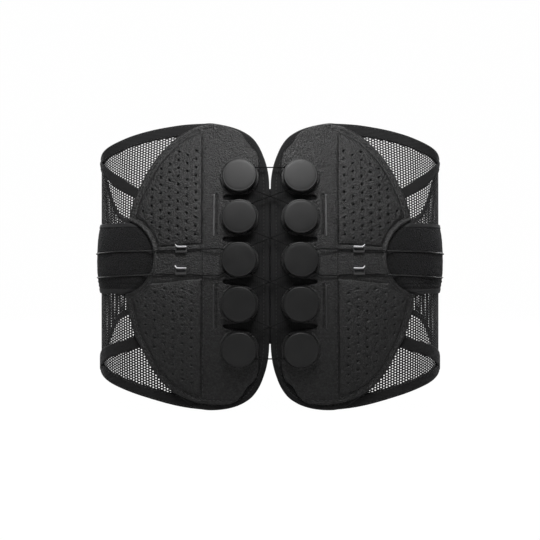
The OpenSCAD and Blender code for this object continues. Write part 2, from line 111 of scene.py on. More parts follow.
STATION_Z = np.array([76.9, 41.8, 5.5, -31.9, -70.1])
SLOT_Z = np.array([59.2, 23.1, -13.0, -50.8])
STATION_S = 25.5
CUT = (133.5, 8.0, 33.2)
WING_TOP = [(54, 126), (70.5, 125.6), (79.5, 125), (88.7, 123.7), (98, 122.4), (107, 120.8), (116.5, 118.6), (126, 115.9), (136.7, 112), (150, 107.8), (176, 99.5),
            (184, 95), (192, 87), (205, 71), (218, 56), (230, 48), (245, 46), (450, 46)]
WING_BOTTOM = [(54, -123.2), (68.7, -122), (77.5, -120.7), (86.4, -119), (95.4, -116.8), (104.5, -114.4), (113.6, -112), (123, -109.2), (133.7, -106), (147, -102.5),
               (162.7, -98), (176, -94.5), (184, -91), (192, -84), (205, -69), (218, -55), (230, -48), (245, -46), (450, -46)]


def smooth_table(rows, width=5.0):
    """The same outline with its corners eased, sampled every mm."""
    x = np.arange(rows[0][0] - 30, rows[-1][0] + 30, 1.0)
    y = table(x, rows)
    k = np.exp(-0.5 * (np.arange(-30, 31) / width) ** 2)
    y2 = np.convolve(np.pad(y, 30, mode="edge"), k / k.sum(), "valid")
    return x, y2


_WT, _WB = smooth_table(WING_TOP), smooth_table(WING_BOTTOM)


def wing_top(s):
    return np.interp(s, *_WT)


def wing_bottom(s):
    return np.interp(s, *_WB)


# ---------------------------------------------------------------- mesh helpers
def make(name, verts, faces, mat, uv=None, smooth=True, attrs=None):
    me = bpy.data.meshes.new(name)
    me.from_pydata([tuple(v) for v in np.asarray(verts, float)], [], [tuple(int(i) for i in f) for f in faces])
    me.update()
    if uv is not None:
        lay = me.uv_layers.new(name="UVMap")
        li = np.zeros(len(me.loops), np.int32)
        me.loops.foreach_get("vertex_index", li)
        lay.data.foreach_set("uv", np.asarray(uv, np.float32)[li].ravel())
    if smooth:
        me.polygons.foreach_set("use_smooth", [True] * len(me.polygons))
    for key, val in (attrs or {}).items():
        a = me.attributes.new(key, "FLOAT", "POINT")
        a.data.foreach_set("value", np.asarray(val, np.float32))
    me.materials.append(mat)
    o = bpy.data.objects.new(name, me)
    bpy.context.scene.collection.objects.link(o)
    return o


def fix_normals(o):
    bm = bmesh.new()
    bm.from_mesh(o.data)
    bmesh.ops.recalc_face_normals(bm, faces=bm.faces)
    bm.to_mesh(o.data)
    bm.free()
    return o


def sharp(o, deg=35):
    """Shades smooth, with edges above an angle kept crisp."""
    me = o.data
    bm = bmesh.new()
    bm.from_mesh(me)
    lim = math.radians(deg)
    for e in bm.edges:
        if len(e.link_faces) == 2 and e.calc_face_angle(0) > lim:
            e.smooth = False
    bm.to_mesh(me)
    bm.free()
    return o


def flip_if(faces, side):
    return [tuple(reversed(f)) for f in faces] if side < 0 else faces


def grid_solid(name, S, Z, D0, D1, side, mat, wrap_uv=True):
    """A closed sheet over grids S, Z [nu+1, nv+1], from inner depth D0 to outer depth D1 (mm)."""
    nu, nv = S.shape[0] - 1, S.shape[1] - 1
    m = (nu + 1) * (nv + 1)
    D0 = np.broadcast_to(D0, S.shape)
    D1 = np.broadcast_to(D1, S.shape)
    verts = np.concatenate([shell(S, Z, D0, side).reshape(-1, 3), shell(S, Z, D1, side).reshape(-1, 3)])
    uv = np.stack([S.ravel(), Z.ravel()], -1) * 0.1
    uv = np.concatenate([uv, uv])
    idx = np.arange(m).reshape(nu + 1, nv + 1)
    a, b, c, d = idx[:-1, :-1], idx[1:, :-1], idx[1:, 1:], idx[:-1, 1:]
    outer = np.stack([a + m, b + m, c + m, d + m], -1).reshape(-1, 4)
    inner = np.stack([a, d, c, b], -1).reshape(-1, 4)
    rims = []
    for line, rev in ((idx[:, 0], False), (idx[-1, :], False), (idx[::-1, -1], False), (idx[0, ::-1], False)):
        rims.append(np.stack([line[:-1], line[1:], line[1:] + m, line[:-1] + m], -1))
    faces = np.concatenate([outer, inner] + rims).tolist()
    return make(name, verts, flip_if(faces, side), mat, uv)


def lens_profile(n, power=4.0):
    """Thickness share across a soft strip's width: full in the middle, round at the edges."""
    t = np.linspace(-1, 1, n)
    t = np.sign(t) * (1 - (1 - np.abs(t)) ** 1.8)
    return t, np.clip(1 - np.abs(t) ** power, 0, 1) ** 0.5


def strip(name, ss, z_lo, z_hi, d_lo, d_hi, side, mat, nv=16, power=6.0, relief=None, round_ends=True, d_shift=None):
    """A soft band: columns ss, height z_lo(s)..z_hi(s), a rounded section between depths d_lo and d_hi."""
    t, k = lens_profile(nv + 1, power)
    ss = np.asarray(ss, float)
    S = np.repeat(ss[:, None], nv + 1, 1)
    zl, zh = z_lo(ss), z_hi(ss)
    Z = (zl + zh)[:, None] / 2 + (zh - zl)[:, None] / 2 * t[None, :]
    ends = np.ones(len(ss))
    if round_ends:
        e = np.minimum(ss - ss[0], ss[-1] - ss) / 1.6
        ends = np.sqrt(1 - (1 - np.clip(e, 0, 1)) ** 2 * 0.85)
    mid = (d_lo + d_hi) / 2
    half = (d_hi - d_lo) / 2 * (0.12 + 0.88 * k[None, :]) * ends[:, None]
    off = 0 if d_shift is None else d_shift(ss)[:, None]
    D1 = mid + half + off
    if relief is not None:
        D1 = D1 + relief(S, Z, t[None, :] + 0 * S) * k[None, :]
    return grid_solid(name, S, Z, mid - half + off, D1, side, mat)


def tube(name, pts, r, mat, k=8, ref=None, cap=True, twist=0.0):
    """A round cord along points in metres, radius r in metres."""
    pts = np.asarray(pts, float)
    n = len(pts)
    tan = np.gradient(pts, axis=0)
    tan /= np.linalg.norm(tan, axis=1)[:, None]
    u = np.zeros_like(pts)
    v0 = np.array([0.0, 0.0, 1.0]) if abs(tan[0][2]) < 0.8 else np.array([0.0, 1.0, 0.0])
    prev = v0
    for i in range(n):
        prev = prev - tan[i] * (prev @ tan[i])
        prev /= np.linalg.norm(prev)
        u[i] = prev
    v = np.cross(tan, u)
    arc = np.concatenate([[0], np.cumsum(np.linalg.norm(np.diff(pts, axis=0), axis=1))])
    ang = np.linspace(0, 2 * math.pi, k, endpoint=False)
    verts, uv = [], []
    rr = np.full(n, r) if np.isscalar(r) else np.asarray(r)
    for i in range(n):
        verts.append(pts[i] + rr[i] * (np.cos(ang)[:, None] * u[i] + np.sin(ang)[:, None] * v[i]))
        uv.append(np.stack([np.full(k, arc[i] * 100), ang / (2 * math.pi)], -1))
    verts, uv = np.concatenate(verts), np.concatenate(uv)
    faces = []
    for i in range(n - 1):
        for j in range(k):
            a, b = i * k + j, i * k + (j + 1) % k
            faces.append((a, b, b + k, a + k))
    if cap:
        faces.append(tuple(range(k))[::-1])
        faces.append(tuple((n - 1) * k + j for j in range(k)))
    return make(name, verts, faces, mat, uv)


def join(name, objs):
    """Joins several mesh objects into the first one."""
    verts, faces, uvs, off = [], [], [], 0
    for o in objs:
        me = o.data
        co = np.zeros(len(me.vertices) * 3)
        me.vertices.foreach_get("co", co)
        verts.append(co.reshape(-1, 3))
        uv = np.zeros((len(me.vertices), 2))
        if me.uv_layers:
            li = np.zeros(len(me.loops), np.int32)
            me.loops.foreach_get("vertex_index", li)
            lu = np.zeros(len(me.loops) * 2)
            me.uv_layers[0].data.foreach_get("uv", lu)
            uv[li] = lu.reshape(-1, 2)
        uvs.append(uv)
        faces += [tuple(i + off for i in p.vertices) for p in me.polygons]
        off += len(me.vertices)
        mat = me.materials[0]
    for o in objs:
        m = o.data
        bpy.data.objects.remove(o)
        bpy.data.meshes.remove(m)
    return make(name, np.concatenate(verts), faces, mat, np.concatenate(uvs))


# ---------------------------------------------------------------- outlines in (s, z)
def resample(loop, step, closed=True):
    p = np.asarray(loop, float)
    if closed:
        p = np.vstack([p, p[:1]])
    seg = np.linalg.norm(np.diff(p, axis=0), axis=1)
    arc = np.concatenate([[0], np.cumsum(seg)])
    n = max(3, int(round(arc[-1] / step)))
    t = np.linspace(0, arc[-1], n + 1)
    q = np.stack([np.interp(t, arc, p[:, 0]), np.interp(t, arc, p[:, 1])], -1)
    return q[:-1] if closed else q


def soften(loop, step, width, closed=True, keep=None):
    """Eases the corners of an outline by a Gaussian along it."""
    q = resample(loop, step, closed)
    n = max(1, int(3 * width / step))
    k = np.exp(-0.5 * (np.arange(-n, n + 1) * step / width) ** 2)
    k /= k.sum()
    if closed:
        e = np.vstack([q[-n:], q, q[:n]])
    else:
        e = np.vstack([2 * q[0] - q[1:n + 1][::-1], q, 2 * q[-1] - q[-n - 1:-1][::-1]])
    return np.stack([np.convolve(e[:, 0], k, "valid"), np.convolve(e[:, 1], k, "valid")], -1)


def inside(pts, loop):
    x, y = pts[:, 0], pts[:, 1]
    r = np.zeros(len(pts), bool)
    a = loop
    b = np.roll(loop, -1, 0)
    for (x0, y0), (x1, y1) in zip(a, b):
        c = (y0 > y) != (y1 > y)
        if c.any():
            xi = (x1 - x0) * (y - y0) / (y1 - y0 + 1e-15) + x0
            r ^= c & (x < xi)
    return r


def dist_to(pts, line, closed=True):
    """Distance of each point to a polyline."""
    a = np.asarray(line, float)
    b = np.roll(a, -1, 0) if closed else a[1:]
    a = a if closed else a[:-1]
    ab = b - a
    l2 = (ab ** 2).sum(1) + 1e-12
    out = np.empty(len(pts))
    for i in range(0, len(pts), 2000):
        p = pts[i:i + 2000]
        ap = p[:, None, :] - a[None]
        t = np.clip((ap * ab[None]).sum(2) / l2[None], 0, 1)
        q = ap - t[..., None] * ab[None]
        out[i:i + 2000] = np.sqrt((q ** 2).sum(2).min(1))
    return out


def offset(loop, dist):
    """The loop moved inward by dist (a counter-clockwise loop)."""
    a = np.roll(loop, 1, 0)
    b = np.roll(loop, -1, 0)
    t = b - a
    t /= np.linalg.norm(t, axis=1)[:, None] + 1e-12
    n = np.stack([-t[:, 1], t[:, 0]], -1)
    return loop + n * dist


def ccw(loop):
    x, y = loop[:, 0], loop[:, 1]
    area = 0.5 * np.sum(x * np.roll(y, -1) - np.roll(x, -1) * y)
    return loop if area > 0 else loop[::-1]


def thin(pts, cell):
    """Drops points that share a cell, keeping the first."""
    key = np.round(pts / cell).astype(np.int64)
    _, i = np.unique(key, axis=0, return_index=True)
    return pts[np.sort(i)]


def region(loop, spacing, features=None, rings=(0.3, 0.8, 1.5), holes=()):
    """Triangles filling a loop: boundary points, inset rings, feature points and a triangular lattice."""
    loop = ccw(loop)
    loops = [loop] + [ccw(np.asarray(h)) for h in holes]
    allb = loops
    pts_in = []
    for lp_i, lp in enumerate(loops):
        for r in rings:
            q = offset(lp, r if lp_i == 0 else -r)
            pts_in.append((q, r))
    kept = []
    for q, r in pts_in:
        ok = inside(q, loop)
        for h in loops[1:]:
            ok &= ~inside(q, h)
        dmin = np.min([dist_to(q, lp) for lp in allb], axis=0)
        kept.append(q[ok & (dmin > 0.8 * r)])
    if features is not None and len(features):
        f = np.asarray(features, float)
        ok = inside(f, loop)
        for h in loops[1:]:
            ok &= ~inside(f, h)
        f = f[ok]
        dmin = np.min([dist_to(f, lp) for lp in allb], axis=0)
        kept.append(f[dmin > 0.3])
    lo, hi = loop.min(0), loop.max(0)
    dy = spacing * 0.866
    g = []
    for j, y in enumerate(np.arange(lo[1], hi[1], dy)):
        xs = np.arange(lo[0] + (spacing / 2 if j % 2 else 0), hi[0], spacing)
        g.append(np.stack([xs, np.full_like(xs, y)], -1))
    g = np.concatenate(g)
    ok = inside(g, loop)
    for h in loops[1:]:
        ok &= ~inside(g, h)
    g = g[ok]
    dmin = np.min([dist_to(g, lp) for lp in allb], axis=0)
    g = g[dmin > max(rings[-1] if rings else 0, 0) + 0.45 * spacing]
    fine = np.concatenate(kept) if kept else np.zeros((0, 2))
    fine = thin(fine, 0.22)
    if len(fine):
        from mathutils.kdtree import KDTree
        kd = KDTree(len(fine))
        for i, p in enumerate(fine):
            kd.insert((p[0], p[1], 0), i)
        kd.balance()
        g = np.array([p for p in g if kd.find((p[0], p[1], 0))[2] > 0.55 * spacing]).reshape(-1, 2)
    pts = np.concatenate([np.concatenate(loops), fine, g])
    edges, o = [], 0
    for lp in loops:
        n = len(lp)
        edges += [(o + i, o + (i + 1) % n) for i in range(n)]
        o += n
    vs, es, fs, *_ = delaunay_2d_cdt([Vector((float(p[0]), float(p[1]))) for p in pts], edges, [], 0, 1e-5)
    v = np.array([(q.x, q.y) for q in vs])
    f = np.array([t for t in fs if len(t) == 3], int)
    c = v[f].mean(1)
    ok = inside(c, loop)
    for h in loops[1:]:
        ok &= ~inside(c, h)
    f = f[ok]
    ar = (v[f[:, 1]] - v[f[:, 0]])
    br = (v[f[:, 2]] - v[f[:, 0]])
    cr = ar[:, 0] * br[:, 1] - ar[:, 1] * br[:, 0]
    f[cr < 0] = f[cr < 0][:, ::-1]
    f = f[np.abs(cr) > 1e-6]
    used = np.unique(f)
    remap = -np.ones(len(v), int)
    remap[used] = np.arange(len(used))
    return v[used], remap[f]


def boundary_edges(f):
    e = np.concatenate([f[:, [0, 1]], f[:, [1, 2]], f[:, [2, 0]]])
    key = {}
    for a, b in e:
        key[(a, b)] = True
    return [(a, b) for a, b in key if (b, a) not in key]


def panel(name, v, f, d_in, d_out, side, mat, attrs=None):
    """A closed panel: triangles f over points v (s, z), from depth d_in to depth d_out (arrays or numbers)."""
    n = len(v)
    d_in = np.broadcast_to(d_in, n)
    d_out = np.broadcast_to(d_out, n)
    verts = np.concatenate([shell(v[:, 0], v[:, 1], d_out, side), shell(v[:, 0], v[:, 1], d_in, side)])
    uv = np.concatenate([v, v]) * 0.1
    faces = [tuple(t) for t in f] + [tuple(t[::-1] + n) for t in f]
    faces += [(b, a, a + n, b + n) for a, b in boundary_edges(f)]
    at = None
    if attrs:
        at = {k: np.concatenate([a, np.zeros(n)]) for k, a in attrs.items()}
    return make(name, verts, flip_if(faces, side), mat, uv, attrs=at)


def stitches(name, line, length, gap, width, depth, side, mat, closed=False, height=0.28):
    """A row of thread stitches along a line of (s, z), lying at depth(s, z)."""
    q = resample(line, 0.4, closed)
    seg = np.linalg.norm(np.diff(q, axis=0), axis=1)
    arc = np.concatenate([[0], np.cumsum(seg)])
    total = arc[-1]
    verts, faces, uvs = [], [], []
    k, m = 6, 5
    off = 0
    for a0 in np.arange(0.5 * gap, total - length, length + gap):
        t = np.linspace(a0, a0 + length, m)
        p = np.stack([np.interp(t, arc, q[:, 0]), np.interp(t, arc, q[:, 1])], -1)
        d = np.gradient(p, axis=0)
        d /= np.linalg.norm(d, axis=1)[:, None] + 1e-9
        nrm = np.stack([-d[:, 1], d[:, 0]], -1)
        prof = np.sin(np.linspace(0.25, math.pi - 0.25, m)) ** 0.5
        base = depth(p[:, 0], p[:, 1])
        for i in range(m):
            for j in range(k):
                an = 2 * math.pi * j / k
                q2 = p[i] + nrm[i] * math.cos(an) * width / 2 * prof[i]
                dd = base[i] + math.sin(an) * height * prof[i] + height * (2 * prof[i] - 1.2) * 0.5
                verts.append(shell(q2[0], q2[1], dd, side))
                uvs.append((t[i] * 0.1, j / k))
        for i in range(m - 1):
            for j in range(k):
                a, b = off + i * k + j, off + i * k + (j + 1) % k
                faces.append((a, b, b + k, a + k))
        faces.append(tuple(off + j for j in range(k))[::-1])
        faces.append(tuple(off + (m - 1) * k + j for j in range(k)))
        off += m * k
    return fix_normals(make(name, np.array(verts), faces, mat, np.array(uvs)))


# ---------------------------------------------------------------- materials
class Nodes:
    def __init__(self, name):
        self.m = bpy.data.materials.new(name)
        self.m.use_nodes = True
        self.t = self.m.node_tree
        self.p = next(n for n in self.t.nodes if n.type == "BSDF_PRINCIPLED")
        self.out = next(n for n in self.t.nodes if n.type == "OUTPUT_MATERIAL")
        self.uv = None

    def n(self, kind, **kw):
        node = self.t.nodes.new(kind)
        for k, v in kw.items():
            if k.startswith("_"):
                setattr(node, k[1:], v)
            else:
                key = k.replace("__", " ")
                s = node.inputs[int(key[1:])] if key[0] == "i" and key[1:].isdigit() else node.inputs[key]
                if hasattr(v, "is_linked"):
                    self.t.links.new(v, s)
                else:
                    s.default_value = v
        return node

    def link(self, a, b):
        self.t.links.new(a, b)

    def coords(self, scale=1.0, sy=None, rot=0.0, obj=False):
        """UV of the shell (1 unit = 10 mm) or object space (1 unit = 10 mm), scaled."""
        if obj:
            src = self.n("ShaderNodeTexCoord").outputs["Object"]
            k = 100.0
        else:
            src = self.n("ShaderNodeUVMap").outputs["UV"]
            k = 1.0
        mp = self.n("ShaderNodeMapping", Vector=src, Scale=(scale * k, (sy or scale) * k, scale * k), Rotation=(0, 0, rot))
        return mp.outputs["Vector"]

    def noise(self, vec, scale=1.0, detail=3.0, rough=0.5):
        return self.n("ShaderNodeTexNoise", Vector=vec, Scale=scale, Detail=detail, Roughness=rough).outputs["Fac"]

    def voronoi(self, vec, scale=1.0, feature="F1", rand=1.0):
        node = self.n("ShaderNodeTexVoronoi", _feature=feature, Vector=vec, Scale=scale)
        node.inputs["Randomness"].default_value = rand
        return node.outputs["Distance"]

    def math(self, op, a, b=0.0, c=None):
        node = self.n("ShaderNodeMath", _operation=op)
        for i, v in enumerate((a, b) if c is None else (a, b, c)):
            if hasattr(v, "is_linked"):
                self.t.links.new(v, node.inputs[i])
            else:
                node.inputs[i].default_value = v
        return node.outputs[0]

    def ramp(self, fac, lo, hi, a=0.0, b=1.0):
        node = self.n("ShaderNodeMapRange", Value=fac)
        node.clamp = True
        for k, v in (("From Min", lo), ("From Max", hi), ("To Min", a), ("To Max", b)):
            node.inputs[k].default_value = v
        return node.outputs[0]

    def mix(self, fac, a, b):
        node = self.n("ShaderNodeMix", _data_type="RGBA")
        for s, v in ((node.inputs[0], fac), (node.inputs[6], a), (node.inputs[7], b)):
            if hasattr(v, "is_linked"):
                self.t.links.new(v, s)
            else:
                s.default_value = v
        return node.outputs[2]

    def bump(self, height, dist=0.0004, strength=1.0, normal=None):
        node = self.n("ShaderNodeBump", Height=height, Distance=dist, Strength=strength)
        if normal is not None:
            self.link(normal, node.inputs["Normal"])
        return node.outputs["Normal"]

    def wave(self, vec, axis, freq):
        """A sine 0..1 along x or y of vec, freq cycles per unit."""
        sep = self.n("ShaderNodeSeparateXYZ", Vector=vec)
        s = self.math("SINE", self.math("MULTIPLY", sep.outputs[axis], 2 * math.pi * freq))
        return self.math("MULTIPLY_ADD", s, 0.5, 0.5)

    def set(self, **kw):
        for k, v in kw.items():
            s = self.p.inputs[k.replace("__", " ")]
            if hasattr(v, "is_linked"):
                self.link(v, s)
            else:
                s.default_value = v
        return self


def grey(v, warm=0.0):
    return (v * (1 + warm), v, v * (1.02 - warm), 1.0)


def mat_leather(name, base=0.018, rough=0.40, grain=1.0, cavity=True):
    """Pebbled black PU leather: irregular cells with fine creases and glossier highs; painted shade darkens the
    creases, a painted highlight lightens the pebble tops and fine flecks, and a vertex attribute adds painted shade in
    holes and seams.
    """
    n = Nodes(name)
    uv = n.coords(1.0)
    warp = n.n("ShaderNodeTexNoise", Vector=uv, Scale=3.0, Detail=2.0)
    add = n.n("ShaderNodeVectorMath", _operation="MULTIPLY_ADD")
    n.link(warp.outputs["Color"], add.inputs[0])
    add.inputs[1].default_value = (0.12, 0.12, 0.12)
    n.link(uv, add.inputs[2])
    v = add.outputs[0]
    edge = n.voronoi(v, 5.2, "DISTANCE_TO_EDGE")
    cell = n.voronoi(v, 5.2, "F1")
    pebble = n.noise(v, 5.0, 5.0, 0.72)
    fine = n.noise(uv, 15.0, 4.0, 0.7)
    big = n.noise(uv, 0.55, 3.0, 0.5)
    dome = n.math("SUBTRACT", 1.0, n.math("MULTIPLY", cell, 1.1))
    h = n.math("ADD", n.math("MULTIPLY", n.ramp(edge, 0.0, 0.22), 0.45), n.math("MULTIPLY", dome, 0.5))
    h = n.math("ADD", h, n.math("MULTIPLY", pebble, 2.2))
    h = n.math("ADD", h, n.math("MULTIPLY", fine, 0.5))
    # painted shade: the crevices between the pebbles are coloured darker
    col = n.mix(n.ramp(edge, 0.0, 0.12), grey(base * 0.3), grey(base * 0.8))
    # painted highlight: pebble tops and fine flecks are coloured lighter
    col = n.mix(n.ramp(pebble, 0.45, 0.62, 0.0, 0.9), col, grey(base * 2.6, 0.01))
    col = n.mix(n.ramp(fine, 0.52, 0.68, 0.0, 0.5), col, grey(base * 3.4, 0.01))
    col = n.mix(n.ramp(big, 0.35, 0.65, 0.0, 0.3), col, grey(base * 1.5, 0.02))
    # painted shade: where the vertex attribute is set, the colour goes to near-black in the holes, the seam and the
    # stitch channel
    if cavity:
        at = n.n("ShaderNodeAttribute", _attribute_name="cavity")
        col = n.mix(at.outputs["Fac"], col, grey(0.002))
    r = n.math("ADD", n.math("MULTIPLY", pebble, -0.35), n.math("MULTIPLY", cell, 0.10))
    r = n.math("ADD", r, rough + 0.16)
    n.set(Base__Color=col, Roughness=r, Normal=n.bump(h, 0.00038, 0.85 * grain), Specular__IOR__Level=0.50)
    return n.m


def mat_woven(name, base=0.022, warp=9.0, weft=9.0, rough=0.85, bump=0.6, sheen=0.25, diag=0.0, obj=False):
    """Plain woven or twilled cloth: crossed sine threads broken up by noise."""
    n = Nodes(name)
    uv = n.coords(1.0, rot=diag, obj=obj)
    jit = n.n("ShaderNodeTexNoise", Vector=uv, Scale=2.0, Detail=2.0)
    add = n.n("ShaderNodeVectorMath", _operation="MULTIPLY_ADD")
    n.link(jit.outputs["Color"], add.inputs[0])
    add.inputs[1].default_value = (0.02, 0.02, 0.02)
    n.link(uv, add.inputs[2])
    v = add.outputs[0]
    wx, wy = n.wave(v, 0, warp), n.wave(v, 1, weft)
    h = n.math("MAXIMUM", n.math("MULTIPLY", wx, n.math("SUBTRACT", 1.15, wy)), n.math("MULTIPLY", wy, n.math("SUBTRACT", 1.15, wx)))
    fuzz = n.noise(uv, 45.0, 3.0, 0.7)
    big = n.noise(uv, 0.4, 3.0)
    h2 = n.math("ADD", h, n.math("MULTIPLY", fuzz, 0.5))
    col = n.mix(n.ramp(h, 0.2, 0.8), grey(base * 0.5), grey(base * 1.35))
    col = n.mix(n.ramp(big, 0.3, 0.7, 0.0, 0.5), col, grey(base * 1.2, 0.03))
    n.set(Base__Color=col, Roughness=rough, Normal=n.bump(h2, 0.00030, bump), Sheen__Weight=sheen, Sheen__Roughness=0.5,
          Specular__IOR__Level=0.25)
    n.p.inputs["Sheen Tint"].default_value = (0.35, 0.35, 0.37, 1)
    return n.m


def mat_rib(name, base=0.022, along=0, pitch=1.3, rough=0.8, bump=0.8, sheen=0.2, cross=5.0):
    """Ribbed elastic webbing: rounded ribs with small cross stitches along each."""
    n = Nodes(name)
    uv = n.coords(1.0)
    rib = n.wave(uv, 1 - along, 10.0 / pitch)
    st = n.wave(uv, along, cross)
    fuzz = n.noise(uv, 40.0, 3.0, 0.7)
    big = n.noise(uv, 0.6, 3.0)
    h = n.math("ADD", n.math("MULTIPLY", n.math("POWER", rib, 0.6), n.math("MULTIPLY_ADD", st, 0.35, 0.65)), n.math("MULTIPLY", fuzz, 0.3))
    col = n.mix(n.ramp(rib, 0.05, 0.7), grey(base * 0.45), grey(base * 1.25))
    col = n.mix(n.ramp(big, 0.3, 0.7, 0, 0.4), col, grey(base * 1.5))
    n.set(Base__Color=col, Roughness=rough, Normal=n.bump(h, 0.0003, bump), Sheen__Weight=sheen, Sheen__Roughness=0.5, Specular__IOR__Level=0.25)
    n.p.inputs["Sheen Tint"].default_value = (0.35, 0.35, 0.37, 1)
    return n.m


def mat_knit(name, base=0.024, pitch=1.6, bump=0.9, sheen=0.25):
    """Rib knit: upright columns of small V-shaped loops."""
    n = Nodes(name)
    uv = n.coords(1.0)
    sep = n.n("ShaderNodeSeparateXYZ", Vector=uv)
    x = n.math("MULTIPLY", sep.outputs[0], 10.0 / pitch)
    fx = n.math("ABSOLUTE", n.math("SUBTRACT", n.math("FRACT", x), 0.5))
    y = n.math("ADD", n.math("MULTIPLY", sep.outputs[1], 10.0 / (pitch * 0.8)), n.math("MULTIPLY", fx, 1.4))
    loop = n.math("MULTIPLY_ADD", n.math("SINE", n.math("MULTIPLY", y, 2 * math.pi)), 0.5, 0.5)
    col_h = n.math("SUBTRACT", 1.0, n.math("POWER", n.math("MULTIPLY", fx, 2.0), 3.0))
    h = n.math("MULTIPLY", loop, col_h)
    fuzz = n.noise(uv, 38.0, 3.0, 0.7)
    h2 = n.math("ADD", h, n.math("MULTIPLY", fuzz, 0.4))
    col = n.mix(n.ramp(h, 0.1, 0.7), grey(base * 0.4), grey(base * 1.5))
    n.set(Base__Color=col, Roughness=0.85, Normal=n.bump(h2, 0.0004, bump), Sheen__Weight=sheen, Sheen__Roughness=0.5, Specular__IOR__Level=0.25)
    n.p.inputs["Sheen Tint"].default_value = (0.35, 0.35, 0.37, 1)
    return n.m


def mat_loop(name, base=0.014):
    """Brushed loop fabric: deep, irregular pile that swallows light, with a soft sheen."""
    n = Nodes(name)
    uv = n.coords(1.0)
    pile = n.noise(uv, 8.5, 6.0, 0.8)
    cell = n.voronoi(uv, 10.0, "F1")
    brush = n.noise(n.coords(1.0, sy=4.0), 2.2, 4.0, 0.6)
    h = n.math("ADD", n.math("MULTIPLY", pile, 1.0), n.math("MULTIPLY", cell, 0.8))
    col = n.mix(n.ramp(pile, 0.38, 0.64), grey(base * 0.12), grey(base * 2.6))
    col = n.mix(n.ramp(brush, 0.35, 0.7, 0, 0.5), col, grey(base * 1.6))
    n.set(Base__Color=col, Roughness=0.9, Normal=n.bump(h, 0.0011, 1.0), Sheen__Weight=0.30, Sheen__Roughness=0.35, Specular__IOR__Level=0.2)
    n.p.inputs["Sheen Tint"].default_value = (0.3, 0.3, 0.32, 1)
    return n.m


def mat_plastic(name, base=0.03, rough=0.4, grain=0.25, obj=True, speck=60.0):
    """Moulded plastic: fine spark-eroded texture, faint flow marks and wear."""
    n = Nodes(name)
    c = n.coords(1.0, obj=obj)
    fine = n.noise(c, speck, 3.0, 0.6)
    big = n.noise(c, 0.9, 3.0, 0.5)
    col = n.mix(n.ramp(big, 0.3, 0.7), grey(base * 0.9), grey(base * 1.15, 0.01))
    r = n.math("ADD", n.math("MULTIPLY", big, 0.14), n.math("MULTIPLY_ADD", fine, 0.12, rough - 0.13))
    n.set(Base__Color=col, Roughness=r, Normal=n.bump(fine, 0.0001, grain))
    return n.m


def mat_metal(name, base=0.55, rough=0.3, stretch=30.0):
    n = Nodes(name)
    c = n.coords(1.0, sy=stretch, obj=True)
    br = n.noise(c, 3.0, 4.0, 0.6)
    n.set(Base__Color=n.mix(br, grey(base * 0.85), grey(base * 1.1)), Metallic=1.0, Roughness=n.math("MULTIPLY_ADD", br, 0.25, rough - 0.1),
          Normal=n.bump(br, 0.00005, 0.3))
    return n.m


def mat_cord(name, base=0.016, rough=0.45):
    """Braided cord: two sets of helical strands."""
    n = Nodes(name)
    uv = n.n("ShaderNodeUVMap").outputs["UV"]
    sep = n.n("ShaderNodeSeparateXYZ", Vector=uv)
    a = n.math("MULTIPLY", sep.outputs[0], 14.0)
    b = n.math("MULTIPLY", sep.outputs[1], 3.0)
    s1 = n.math("SINE", n.math("MULTIPLY", n.math("ADD", a, b), 2 * math.pi))
    s2 = n.math("SINE", n.math("MULTIPLY", n.math("SUBTRACT", a, b), 2 * math.pi))
    h = n.math("MAXIMUM", s1, s2)
    col = n.mix(n.ramp(h, -0.2, 0.9), grey(base * 0.5), grey(base * 1.7))
    n.set(Base__Color=col, Roughness=rough, Normal=n.bump(h, 0.0001, 0.6), Specular__IOR__Level=0.5 if rough < 0.6 else 0.08)
    return n.m


